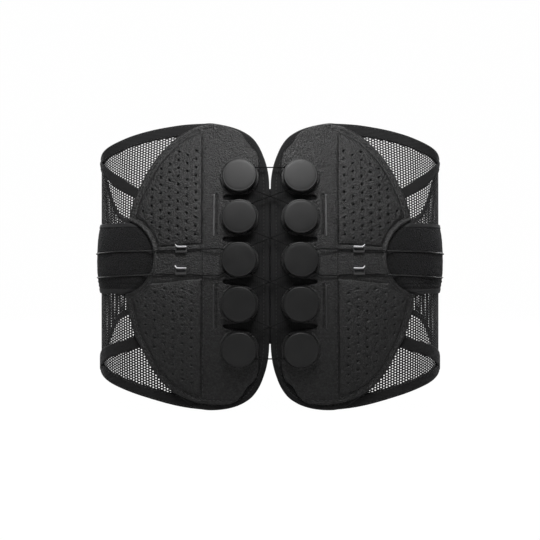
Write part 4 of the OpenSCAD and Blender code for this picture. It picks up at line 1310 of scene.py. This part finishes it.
for name, side in SIDES:
    ss = np.concatenate([np.arange(57, 196, 1.6), np.arange(196, 304.5, 3.0)])
    top = strip("t", ss, lambda s: wing_top(s) - 10.2 + 5.6 * ease((s - 178) / 16), lambda s: wing_top(s) + 0.2, -0.1, 2.4, side, M["band"], nv=22, power=8,
                relief=lambda S, Z, t: 0.10 * np.sin(t * 3.14159 * 7))
    low = strip("b", ss, lambda s: wing_bottom(s) - 0.2, lambda s: wing_bottom(s) + 10.2 - 5.6 * ease((s - 178) / 16), -0.1, 2.4, side, M["band"], nv=22, power=8,
                relief=lambda S, Z, t: 0.10 * np.sin(t * 3.14159 * 7))
    o = join(name + "_edge_bands", [top, low])
    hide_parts(name + "_wing_bands")
    wing_blend(o)
    st = []
    for fn, sg in ((wing_top, -1), (wing_bottom, 1)):
        x = np.arange(60, 300, 1.0)
        for e in (1.6, 8.9):
            taper = 5.6 * ease((x - 178) / 16) * (e > 4)
            st.append(stitches("s", np.stack([x, fn(x) + sg * (e - taper)], -1), 2.0, 1.2, 0.45, lambda s, z: np.full(np.shape(s), 2.37), side, M["thread"], height=0.2))
    o = join(name + "_band_stitching", st)
    wing_blend(o)

    up_hi = [(106, 63.5), (116.9, 69.2), (124.9, 73.6), (134, 78.6), (151.7, 88), (160, 91.5), (180, 96)]
    up_lo = [(106, 53.5), (119.6, 59.9), (129.7, 65.1), (141.5, 70.8), (156.9, 80.9), (176, 93)]
    lo_hi = [(106, -57.5), (117.6, -60.5), (128, -63.9), (142.6, -67.6), (154.2, -70.6), (168, -76), (178, -81)]
    lo_lo = [(106, -68.5), (113.6, -70.4), (129.2, -75.3), (145.8, -80.2), (157.4, -85.2), (176, -94)]
    xs = np.arange(109, 177, 1.6)
    d1 = strip("u", xs, lambda s: table(s, up_lo), lambda s: table(s, up_hi), 1.7, 3.1, side, M["diag"], nv=14, power=8)
    d2 = strip("l", xs, lambda s: table(s, lo_lo), lambda s: table(s, lo_hi), 1.7, 3.1, side, M["diag"], nv=14, power=8)
    o = join(name + "_diagonal_bands", [d1, d2])
    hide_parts(name + "_wing_diagonals")
    wing_blend(o)


def strap_mid(s):
    return 7.0 * (1 - ease((np.asarray(s, float) - 190) / 90))


def strap_puff(s, t):
    """Outer depth of the side strap: tucked under the cover's rim, then arched across its height."""
    arch = 2.35 + 3.15 * np.clip(1 - np.abs(t) ** 2.6, 0, 1)
    flat = 5.35 + 0 * arch
    k = ease((s - 112) / 34)
    return flat * (1 - k) + arch * k


def strap_sheet(name, t0, t1, nv, lo, hi, mat, side, relief):
    """A strip of the side strap between heights t0 and t1 (-1..1), starting under the rim of the cover's cutout."""
    tv = np.linspace(-1, 1, nv + 1)
    tv = np.sign(tv) * (1 - (1 - np.abs(tv)) ** 1.8)
    t = (t0 + t1) / 2 + (t1 - t0) / 2 * tv
    k = np.clip(1 - np.abs(tv) ** 12, 0, 1) ** 0.5
    z0 = 7.0 + 31.0 * t
    dz = np.clip(np.abs(z0 - CUT[1]) / CUT[2], 0, 0.985)
    s0 = CUT[0] - CUT[2] * np.sqrt(1 - dz ** 2) - 0.7
    u = np.concatenate([np.linspace(0, 1, 60) ** 1.4, 1 + np.linspace(0, 1, 62)[1:]])
    S = np.where(u[:, None] <= 1, s0[None, :] + (192 - s0[None, :]) * np.clip(u, 0, 1)[:, None], 192 + (372 - 192) * (np.clip(u, 1, 2)[:, None] - 1))
    Z = strap_mid(S) + 31.0 * t[None, :]
    T = np.repeat(t[None, :], len(u), 0)
    out = strap_puff(S, T)
    rise = ease((S - s0[None, :]) / 7.0)
    under = np.minimum(out, 3.45) * (1 - rise) + out * rise
    thick = 1.5 * (0.15 + 0.85 * k[None, :])
    D1 = under - 1.5 + (1.5 + thick) / 2 + hi * k[None, :] + relief(S, Z, T) * k[None, :] * rise
    D0 = under - 1.5 + (1.5 - thick) / 2 + lo
    return grid_solid(name, S, Z, D0, D1, side, mat)


def pile(S, Z, t):
    n = np.sin(S * 1.9 + 3 * np.sin(Z * 0.7)) * np.sin(Z * 2.3 + 2 * np.sin(S * 0.5)) * 0.10
    ribs = 0.34 * np.sin(2 * math.pi * t / 0.115) * np.exp(-((t + 0.64) / 0.17) ** 2)
    return n + ribs + 0.08 * np.sin(S * 0.23 + Z * 0.1)


for name, side in SIDES:
    body = strap_sheet(name + "_loop_strap", -0.985, 0.985, 60, 0.0, 0.0, M["loop"], side, pile)
    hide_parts(name + "_side_strap", name + "_strap_root")
    wing_blend(body)
    hems = []
    for a, b in ((-1.0, -0.86), (0.88, 1.0)):
        hems.append(strap_sheet("h", a, b, 12, -0.15, 0.42, M["hem"], side, lambda S, Z, T: 0.07 * np.sin(T * 180.0)))
    o = join(name + "_strap_hems", hems)
    wing_blend(o)


# ---------------------------------------------------------------- cords
def near(i, u, v, h, side):
    c, U, V, N = station(i, side)
    return c + 0.001 * (u * U + v * V + h * N)


GR = 7.8
MID, OUT, INN = 2.6, 3.35, 1.85


def leg(i, up, h, other, oh, side):
    a = near(i, 0, up * GR, h, side)
    b = near(other[0], 0, other[1] * GR, oh, side) * np.array([-1, 1, 1])
    t = (a[0] - side * 0.012) / (a[0] - b[0])
    return a + (b - a) * t


def wrap(i, a0, a1, h, side, n=14):
    return [near(i, GR * math.cos(a), GR * math.sin(a), h, side) for a in np.radians(np.linspace(a0, a1, n))]


def smooth_path(pts, step=0.0015, width=2):
    p = np.asarray(pts, float)
    seg = np.linalg.norm(np.diff(p, axis=0), axis=1)
    arc = np.concatenate([[0], np.cumsum(seg)])
    n = max(3, int(arc[-1] / step))
    t = np.linspace(0, arc[-1], n)
    q = np.stack([np.interp(t, arc, p[:, k]) for k in range(3)], -1)
    for _ in range(width):
        q[1:-1] = 0.25 * q[:-2] + 0.5 * q[1:-1] + 0.25 * q[2:]
    return q


CORD_R = 0.00052
CORD_SWAP = 196.0


def cord_depth(s, z=0.0):
    """Depth of the cord's centre over the cover, the rim of its cutout and the strap."""
    s = np.asarray(s, float)
    over = np.interp(s, [60, 66, 94, 99, 104, 112], [6.45, 6.7, 6.7, 7.0, 6.4, 6.2])
    strap = strap_puff(s, (np.asarray(z) - strap_mid(s)) / 31.0) + 0.62
    k = ease((s - 104) / 8)
    return over * (1 - k) + strap * k


for name, side in SIDES:
    shade, run = [], []
    up_z = [(44, 15.4), (60, 14.6), (75, 13.9), (98, 13.6), (112, 13.2), (129.6, 13.2), (150, 12.3), (190, 11.0), (262, 10.0)]
    lo_z = [(44, -8.2), (60, -7.2), (75, -6.3), (86, -6.6), (98, -7.0), (129.6, -8.2), (150, -9.4), (190, -10.2), (262, -10.0)]
    for tab, i_mid, ang, sgn, nxt in ((up_z, OUT, (62, 96), 1, (1, -1)), (lo_z, INN, (-58, -96), -1, (3, 1))):
        s = np.concatenate([np.arange(CORD_SWAP, 62, -2.0), [60.0]])
        p = list(shell(s, table(s, tab), cord_depth(s, table(s, tab)), side))
        cut = int(np.sum(s >= 99))
        run.append(tube("c", smooth_path(p[:cut + 1]), CORD_R, M["cord"], k=8))
        p = p[cut - 1:] + [shell(44, table(44, tab), 6.0 + i_mid - 0.9, side)]
        p += wrap(2, ang[0], ang[1], i_mid, side, 8) + [leg(2, sgn, i_mid, nxt, MID, side)]
        # where the cord crosses the cover it takes the darker lacing copy, a painted shade
        shade.append(tube("c", smooth_path(p), CORD_R * 0.99, M["lace"], k=8))
    o = join(name + "_draw_cords", run)
    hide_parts(name + "_back_cords")
    wing_blend(o)
    o = join(name + "_cord_leads", shade)
    wing_blend(o)
    turns = [
        [leg(0, 1, MID, (0, 1), MID, side)] + wrap(0, 90, -82, MID, side) + [leg(0, -1, MID, (1, 1), MID, side)],
        [leg(1, 1, MID, (0, -1), MID, side)] + wrap(1, 98, -82, MID, side) + [leg(1, -1, MID, (2, 1), OUT, side)],
        [leg(3, 1, MID, (2, -1), INN, side)] + wrap(3, 82, -98, MID, side) + [leg(3, -1, MID, (4, 1), MID, side)],
        [leg(4, 1, MID, (3, -1), MID, side)] + wrap(4, 82, -90, MID, side) + [leg(4, -1, MID, (4, -1), MID, side)]]
    o = join(name + "_cord_turns", [tube("c", smooth_path(p, 0.0012, 1), CORD_R, M["lace"], k=8) for p in turns])
    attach(o, name + "_back")
    pulls = []
    for tab in (up_z, lo_z):
        s = np.arange(CORD_SWAP - 1.0, 266, 2.0)
        pulls.append(tube("c", shell(s, table(s, tab), cord_depth(s, table(s, tab)), side), CORD_R, M["cord"], k=8))
    o = join(name + "_pull_cords", pulls)
    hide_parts(name + "_wing_cords")
    a, b = shell(210, 0, 6, side), shell(258, 0, 6, side)
    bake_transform(o)

flipx = np.array([-1, 1, 1])


def span(a, b, h):
    mid = (a + b) / 2 + np.array([0, -0.001 * h, 0])
    t = np.linspace(0, 1, 25)[:, None]
    return (1 - t) ** 2 * a + 2 * t * (1 - t) * (2 * mid - (a + b) / 2) + t ** 2 * b


def lacing(sets):
    out = []
    for (i, u, h, o, oh), (i2, u2, h2, o2, oh2), bow in sets:
        a = leg(i, u, h, o, oh, 1.0)
        b = leg(i2, u2, h2, o2, oh2, 1.0) * flipx
        out.append(tube("c", span(a, b, bow), CORD_R, M["lace"], k=8))
    return out


T0 = (0, 1, MID, (0, 1), MID)
T0b = (0, -1, MID, (1, 1), MID)
T1a = (1, 1, MID, (0, -1), MID)
T1b = (1, -1, MID, (2, 1), OUT)
T2a = (2, 1, OUT, (1, -1), MID)
T2b = (2, -1, INN, (3, 1), MID)
T3a = (3, 1, MID, (2, -1), INN)
T3b = (3, -1, MID, (4, 1), MID)
T4a = (4, 1, MID, (3, -1), MID)
T4b = (4, -1, MID, (4, -1), MID)
o = join("upper_lacing_cord", lacing([(T0, T0, 0), (T0b, T1a, 0.65), (T1a, T0b, -0.65), (T1b, T2a, 0.65), (T2a, T1b, -0.65)]))
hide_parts("upper_lacing")
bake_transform(o)
o = join("lower_lacing_cord", lacing([(T4b, T4b, 0), (T4a, T3b, 0.65), (T3b, T4a, -0.65), (T3a, T2b, 0.65), (T2b, T3a, -0.65)]))
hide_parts("lower_lacing")
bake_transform(o)

# centre elastic
xs = np.linspace(-12, 12, 97)
zs = np.linspace(-66, 67, 60)
X, Z = np.meshgrid(xs, zs, indexing="ij")
rib = 0.16 * np.cos(2 * math.pi * X / 1.7)
edge = np.clip(np.minimum(Z + 66, 67 - Z) / 1.0, 0, 1)
half = 0.25 + 0.35 * np.sqrt(edge)
verts_in = shell(np.abs(X), Z, -1.25 - half - rib * 0.5, 1.0)
verts_out = shell(np.abs(X), Z, -1.25 + half + rib, 1.0)
for q in (verts_in, verts_out):
    q[..., 0] *= np.where(X < 0, -1, 1)
nu, nv = X.shape
idx = np.arange(nu * nv).reshape(nu, nv)
a, b, c, d = idx[:-1, :-1], idx[1:, :-1], idx[1:, 1:], idx[:-1, 1:]
m = nu * nv
fo = np.stack([a + m, b + m, c + m, d + m], -1).reshape(-1, 4)
fi = np.stack([a, d, c, b], -1).reshape(-1, 4)
rims = [np.stack([l[:-1], l[1:], l[1:] + m, l[:-1] + m], -1) for l in (idx[:, 0], idx[-1, :], idx[::-1, -1], idx[0, ::-1])]
uv = np.stack([X.ravel(), Z.ravel()], -1) * 0.1
o = make("centre_rib_elastic", np.concatenate([verts_in.reshape(-1, 3), verts_out.reshape(-1, 3)]), np.concatenate([fo, fi] + rims).tolist(), M["knit"], np.concatenate([uv, uv]))
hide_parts("centre_elastic")
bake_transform(o)


# ---------------------------------------------------------------- lumbar pads and stay pockets
def pad_mesh(side, name):
    zs = np.linspace(-84, 84, 57)
    n = 25
    S, Z, D0, D1 = [], [], [], []
    for t in np.linspace(0, 1, n):
        lo = 17 + 20 * (1 - np.sqrt(1 - (np.abs(zs) / 90) ** 4))
        hi = 97 - 46 * (1 - np.sqrt(1 - (np.abs(zs) / 90) ** 3))
        S.append(lo + (hi - lo) * t)
        Z.append(zs)
    S, Z = np.array(S), np.array(Z)
    T = np.linspace(-1, 1, n)[:, None]
    k = np.clip(1 - np.abs(T) ** 3, 0, 1) * np.clip(1 - (np.abs(Z) / 84.5) ** 8, 0, 1)
    D1 = np.full(S.shape, -3.0)
    D0 = -4.0 - 3.2 * np.sqrt(k)
    return grid_solid(name, S, Z, D0, D1, side, M["pad"])


def press_channels(o, side):
    """Sewn channels pressed into the pad's face."""
    co = np.array([v.co for v in o.data.vertices])
    s = np.abs(co[:, 0]) * 1000
    z = co[:, 2] * 1000
    back = shell(s, z, -2.3, side)
    depth = (co[:, 1] - back[:, 1]) * 1000
    face = ease((depth - 1.5) / 2.0)
    c = np.zeros(len(co))
    for q in (38, 58, 78):
        c += np.exp(-((s - q - 0.0006 * z * z) / 1.7) ** 2)
    for q in (-50, 0, 50):
        c += np.exp(-((z - q) / 1.7) ** 2)
    co[:, 1] -= 0.001 * 1.7 * np.clip(c, 0, 1) * face
    o.data.vertices.foreach_set("co", co.astype(np.float32).ravel())
    o.data.update()


for name, side in SIDES:
    o = pad_mesh(side, name + "_lumbar_cushion")
    sub = o.modifiers.new("sub", "SUBSURF")
    sub.levels = sub.render_levels = 1
    bpy.context.view_layer.objects.active = o
    o.select_set(True)
    bpy.ops.object.modifier_apply(modifier="sub")
    o.select_set(False)
    o.data.polygons.foreach_set("use_smooth", [True] * len(o.data.polygons))
    press_channels(o, side)
    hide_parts(name + "_lumbar_pad")
    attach(o, name + "_back")
    parts = []
    for q in ((23, 35), (65, 77)):
        zz = np.arange(-101, 101.5, 3.0)
        nv = 13
        t, k = lens_profile(nv, 8)
        Sg = (q[0] + q[1]) / 2 + (q[1] - q[0]) / 2 * t[:, None] + 0 * zz[None, :]
        Zg = np.repeat(zz[None, :], nv, 0)
        hf = 0.95 * (0.1 + 0.9 * k)[:, None]
        parts.append(grid_solid("pk", Sg, Zg, -1.15 - hf + 0 * Zg, -1.15 + hf * 0.95 + 0 * Zg, side, M["pocket"]))
    o = join(name + "_stay_pockets", parts)
    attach(o, name + "_back")


# ---------------------------------------------------------------- front flaps
FLAP_END = S3 + 25


def tuck(s):
    s = np.asarray(s, float)
    a = (s - S3) / RC
    e = 25 / RC
    flat = (RC - 0.7) * math.cos(e) / np.cos(np.clip(a, -0.6, 0.6)) - RC
    return np.where(s > 384, flat, 3.2 + (flat - 3.2) * ease((s - 344) / 40))


def flap_depths(s, left):
    if left:
        d1 = tuck(s) - 0.7 * ease((s - 344) / 40)
        return d1 - 2.6, d1
    return np.full(np.shape(s), 0.6), np.full(np.shape(s), 3.2)


def flap_loop(r=10):
    x = np.arange(302.5, FLAP_END - r, 2.0)
    top = list(zip(x, wing_top(x)))
    bot = list(zip(x, wing_bottom(x)))
    e = FLAP_END
    zt, zb = 46.0, -46.0
    c1 = [(e - r + r * math.sin(a), zt - r + r * math.cos(a)) for a in np.linspace(0, math.pi / 2, 12)]
    c2 = [(e - r + r * math.cos(a), zb + r - r * math.sin(a)) for a in np.linspace(0, math.pi / 2, 12)]
    return ccw(resample(np.array(top + c1 + c2 + bot[::-1]), 1.2))


FLAP = flap_loop()


def quilt(v, e):
    return -0.35 * np.exp(-((e - 9.0) / 0.7) ** 2) - 0.22 * np.exp(-(np.abs((v[:, 1] + 200) % 22 - 11) / 0.8) ** 2) * (e > 9)


feats = [offset(FLAP, q) for q in (8.2, 8.7, 9.3, 9.9)]
zq = [z for z in np.arange(-200, 200, 22) + 11 if abs(z) < 47]
for z in zq:
    xx = np.arange(303, FLAP_END, 1.6)
    for dz in (-1.2, -0.6, 0, 0.6, 1.2):
        feats.append(np.stack([xx, np.full_like(xx, z + dz)], -1))
fv, ff = region(FLAP, 3.0, np.concatenate(feats), rings=(0.3, 0.8, 1.6))
fe = dist_to(fv, FLAP)
for name, side in SIDES:
    left = side < 0
    d0, d1 = flap_depths(fv[:, 0], left)
    t = np.clip(fe / 1.4, 0, 1)
    roll = 1 - np.sqrt(1 - (1 - t) ** 2)
    bulge = quilt(fv, fe)
    start = ease((fv[:, 0] - 303) / 6)
    o = panel(name + "_flap_shell", fv, ff, d0 + 0.35 + 0.8 * roll, d1 - 0.45 - 0.8 * roll + bulge + 0.2, side, M["flap"])
    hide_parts(name + "_front_flap")
    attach(o, name + "_wing")
    # bound edge of the flap
    lp = FLAP
    n = len(lp)
    tt = np.roll(lp, -1, 0) - np.roll(lp, 1, 0)
    tt /= np.linalg.norm(tt, axis=1)[:, None]
    nr = np.stack([-tt[:, 1], tt[:, 0]], -1)
    seg = np.concatenate([[0], np.cumsum(np.linalg.norm(np.diff(lp, axis=0), axis=1))])
    sec = [(5.6, 2.35), (5.4, 2.75), (4.6, 2.85), (3.0, 2.95), (1.2, 2.9), (0.2, 2.5), (-0.15, 1.3), (0.2, 0.1), (1.2, -0.25), (3.0, -0.3), (4.6, -0.25), (5.6, 0.1), (4.0, 1.3)]
    verts, uvs, faces = [], [], []
    for j, (w, dd) in enumerate(sec):
        q = lp + nr * w
        da, db = flap_depths(q[:, 0], left)
        verts.append(shell(q[:, 0], q[:, 1], da + 0.1 + (db - da - 0.25) * dd / 2.6, side))
        uvs.append(np.stack([seg * 0.1, np.full(n, j * 0.13)], -1))
    k = len(sec)
    for j in range(k):
        j2 = (j + 1) % k
        for i in range(n):
            i2 = (i + 1) % n
            faces.append((j * n + i, j * n + i2, j2 * n + i2, j2 * n + i))
    o = fix_normals(make(name + "_flap_binding", np.concatenate(verts), faces, M["binding"], np.concatenate(uvs)))
    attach(o, name + "_wing")
    st = stitches(name + "_flap_stitching", offset(FLAP, 4.7), 2.0, 1.2, 0.45, lambda s, z, left=left: flap_depths(s, left)[1] + 0.05, side, M["thread"], height=0.18)
    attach(st, name + "_wing")


# hook and loop patches between the flaps: a flat hook patch, and a pile
def patch(name, s0, s1, z0, z1, d0, d1, side, mat, bump_rows=None):
    ss = np.arange(s0, s1 + 0.01, 1.0)
    zz = np.arange(z0, z1 + 0.01, 1.5)
    S, Z = np.meshgrid(ss, zz, indexing="ij")
    e = np.minimum.reduce([S - s0, s1 - S, Z - z0, z1 - Z])
    r = np.sqrt(np.clip(e / 0.8, 0.05, 1))
    lo, hi = d0(S), d1(S)
    mid = (lo + hi) / 2
    return grid_solid(name, S, Z, mid - (mid - lo) * r, mid + (hi - mid) * r + (bump_rows(S, Z) if bump_rows else 0), side, mat)


o = patch("left_loop_patch", 390, FLAP_END - 3, -40, 40, lambda s: tuck(s) - 0.75, lambda s: tuck(s) + 0 * s, -1.0, M["loop"],
          lambda S, Z: 0.08 * np.sin(S * 2.1) * np.sin(Z * 1.7))
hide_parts("left_flap_loop")
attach(o, "left_wing")
o = patch("right_hook_patch", S3 + 4, FLAP_END - 1.5, -38, 38, lambda s: -0.3 + 0 * s, lambda s: 0.5 + 0 * s, 1.0, M["hook"])
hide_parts("right_flap_hook")
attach(o, "right_wing")


# ---------------------------------------------------------------- pull handles, keepers, grommets
HS, HL = 262.0, 73.0
HD = 6.4


def handle_loop():
    r0, r1 = 6.0, 20.0
    e0, e1, zt = HS, HS + HL, 26.6
    pts = []
    pts += [(e1 - r1 + r1 * math.cos(a), zt - r1 + r1 * math.sin(a)) for a in np.linspace(0, math.pi / 2, 20)]
    pts += [(e0 + r0 - r0 * math.sin(a), zt - r0 + r0 * math.cos(a)) for a in np.linspace(0, math.pi / 2, 10)]
    pts += [(s, -z) for s, z in pts[::-1]]
    return ccw(resample(np.array(pts), 1.0))


HLOOP = handle_loop()
BORE_S = 315.0
hole = np.array([(BORE_S + 12.7 * math.cos(a), 12.7 * math.sin(a)) for a in np.linspace(0, 2 * math.pi, 72, endpoint=False)])
hf_feats = [offset(HLOOP, q) for q in (2.6, 3.2, 3.8)]
for r in (14.2, 15.6, 16.4, 17.2):
    a = np.linspace(0, 2 * math.pi, 90)
    hf_feats.append(np.stack([BORE_S + r * np.cos(a), r * np.sin(a)], -1))
hv, hf = region(HLOOP, 2.4, np.concatenate(hf_feats), rings=(0.3, 0.8, 1.5), holes=[hole])
he = np.minimum(dist_to(hv, HLOOP), 1e9)
hh = np.hypot(hv[:, 0] - BORE_S, hv[:, 1]) - 12.7
for name, side in SIDES:
    t = np.clip(he / 1.6, 0, 1)
    roll = 1 - np.sqrt(1 - (1 - t) ** 2)
    top = HD + 2.55 - 1.25 * roll - 0.3 * np.exp(-((he - 3.2) / 0.6) ** 2) - 0.22 * np.exp(-((hh - 3.7) / 0.6) ** 2) + 0.25 * ease((he - 5) / 8)
    bot = HD + 0.05 + 0.9 * roll + 0 * he
    o = panel(name + "_handle_body", hv, hf, bot, top, side, M["handle"])
    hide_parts(name + "_handle")
    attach(o, name + "_handle")
    st = [stitches("s", offset(HLOOP, 3.2), 2.2, 1.2, 0.5, lambda s, z: np.full(np.shape(s), HD + 2.5), side, M["thread"], height=0.22)]
    a = np.linspace(0, 2 * math.pi, 80)
    st.append(stitches("s", np.stack([BORE_S + 16.4 * np.cos(a), 16.4 * np.sin(a)], -1), 2.0, 1.2, 0.5, lambda s, z: np.full(np.shape(s), HD + 2.55), side, M["thread"], height=0.22))
    for q in (270, 288):
        zz = np.linspace(-20, 20, 40)
        st.append(stitches("s", np.stack([np.full(40, float(q)), zz], -1), 2.2, 1.2, 0.5, lambda s, z: np.full(np.shape(s), HD + 2.75), side, M["thread"], height=0.22))
    o = join(name + "_handle_stitching", st)
    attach(o, name + "_handle")
    use(name + "_handle_hook", "hook")
    use(name + "_handle_grommet", "grommet")
    keep_sharp(name + "_handle_hook")
    keep_sharp(name + "_handle_grommet")
    # keeper loop over the cords
    zz = np.linspace(-20, 20, 61)
    ss = np.linspace(198, 207, 15)
    mid = strap_mid(202)
    S, Z = np.meshgrid(ss, zz, indexing="ij")
    lift = 1.55 * (ease((20 - np.abs(Z)) / 4.0))
    ed = np.clip(np.minimum(S - 198, 207 - S) / 0.9, 0, 1)
    rr = 0.15 + 0.85 * np.sqrt(1 - (1 - ed) ** 2)
    base = 6.2 + lift
    ridge = 0.07 * np.cos(2 * math.pi * S / 1.5)
    o = grid_solid(name + "_keeper_loop", S, Z + mid, base + 0.4 - 0.4 * rr, base + 0.4 + 0.45 * rr + ridge, side, M["band"])
    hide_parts(name + "_cord_keeper")
    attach(o, name + "_wing")
    st = []
    for zc in (mid - 18.2, mid + 18.2):
        st.append(stitches("s", np.stack([np.linspace(199, 206.4, 12), np.full(12, zc)], -1), 1.6, 0.8, 0.5, lambda s, z: np.full(np.shape(s), 7.15), side, M["thread"], height=0.2))
    o = join(name + "_keeper_stitching", st)
    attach(o, name + "_wing")


# ---------------------------------------------------------------- stage, light, camera
def stage_mesh():
    """A pale floor that sweeps up into a backdrop."""
    prof = [(-3.2, 0.0), (-1.0, 0.0), (0.5, 0.0), (1.2, 0.0)]
    for a in np.linspace(0, math.pi / 2, 14):
        prof.append((1.6 + 0.9 * math.sin(a), 0.9 - 0.9 * math.cos(a)))
    prof.append((2.5, 3.6))
    z0 = CAD_BOX_Z - 0.0025
    verts, faces = [], []
    for y, z in prof:
        verts += [(-4.5, y, z0 + z), (4.5, y, z0 + z)]
    for i in range(len(prof) - 1):
        faces.append((2 * i, 2 * i + 1, 2 * i + 3, 2 * i + 2))
    n = Nodes("studio_sweep")
    n.set(Base__Color=(0.45, 0.45, 0.45, 1), Roughness=0.9, Specular__IOR__Level=0.1)
    em = n.n("ShaderNodeEmission", Color=(1, 1, 1, 1), Strength=1.03)
    mx = n.n("ShaderNodeMixShader")
    n.link(n.math("MULTIPLY", n.n("ShaderNodeLightPath").outputs["Is Camera Ray"], 0.965), mx.inputs[0])
    n.link(n.p.outputs[0], mx.inputs[1])
    n.link(em.outputs[0], mx.inputs[2])
    n.link(mx.outputs[0], n.out.inputs["Surface"])
    o = make("studio_sweep", np.array(verts), faces, n.m)
    return o


CAD_BOX_Z = float(CAD_BOX[0][2])
stage_mesh()


def area(name, loc, target, size, size_y, power, spread=180):
    li = bpy.data.lights.new(name, "AREA")
    li.shape = "RECTANGLE"
    li.size, li.size_y = size, size_y
    li.energy = power
    li.spread = math.radians(spread)
    o = bpy.data.objects.new(name, li)
    o.location = loc
    o.rotation_euler = (Vector(target) - Vector(loc)).to_track_quat("-Z", "Y").to_euler()
    bpy.context.scene.collection.objects.link(o)
    return o


area("top_softbox", (0.0, -0.47, 0.62), (0, -0.09, 0.05), 0.40, 0.30, 4.7)
area("left_softbox", (-1.25, -0.55, 0.45), (0, -0.05, 0), 0.5, 1.0, 0.8)
area("right_softbox", (1.25, -0.55, 0.45), (0, -0.05, 0), 0.5, 1.0, 0.8)
area("rim_softbox", (0.0, 0.75, 0.95), (0, 0, 0.1), 1.4, 0.4, 5)
area("front_left_softbox", (-0.85, 1.15, 0.55), (0, 0.10, 0), 0.6, 0.8, 9)
area("front_right_softbox", (0.85, 1.15, 0.55), (0, 0.10, 0), 0.6, 0.8, 9)

world = bpy.data.worlds.new("studio")
world.use_nodes = True
wt = world.node_tree
bg = wt.nodes["Background"]
bg.inputs[0].default_value = (1, 1, 1, 1)
lp = wt.nodes.new("ShaderNodeLightPath")
mr = wt.nodes.new("ShaderNodeMapRange")
mr.inputs["To Min"].default_value = 0.022
mr.inputs["To Max"].default_value = 1.0
wt.links.new(lp.outputs["Is Camera Ray"], mr.inputs["Value"])
wt.links.new(mr.outputs[0], bg.inputs[1])
bpy.context.scene.world = world
bpy.context.scene.view_settings.view_transform = "Standard"
bpy.context.scene.view_settings.look = "None"

cam = bpy.data.cameras.new("camera")
cam.sensor_width = 36.0
cam.lens = 69.0
cam_o = bpy.data.objects.new("camera", cam)
cam_o.location = (0.0, -0.9835, -0.003)
cam_o.rotation_euler = (math.radians(90), 0, 0)
bpy.context.scene.collection.objects.link(cam_o)
bpy.context.scene.camera = cam_o
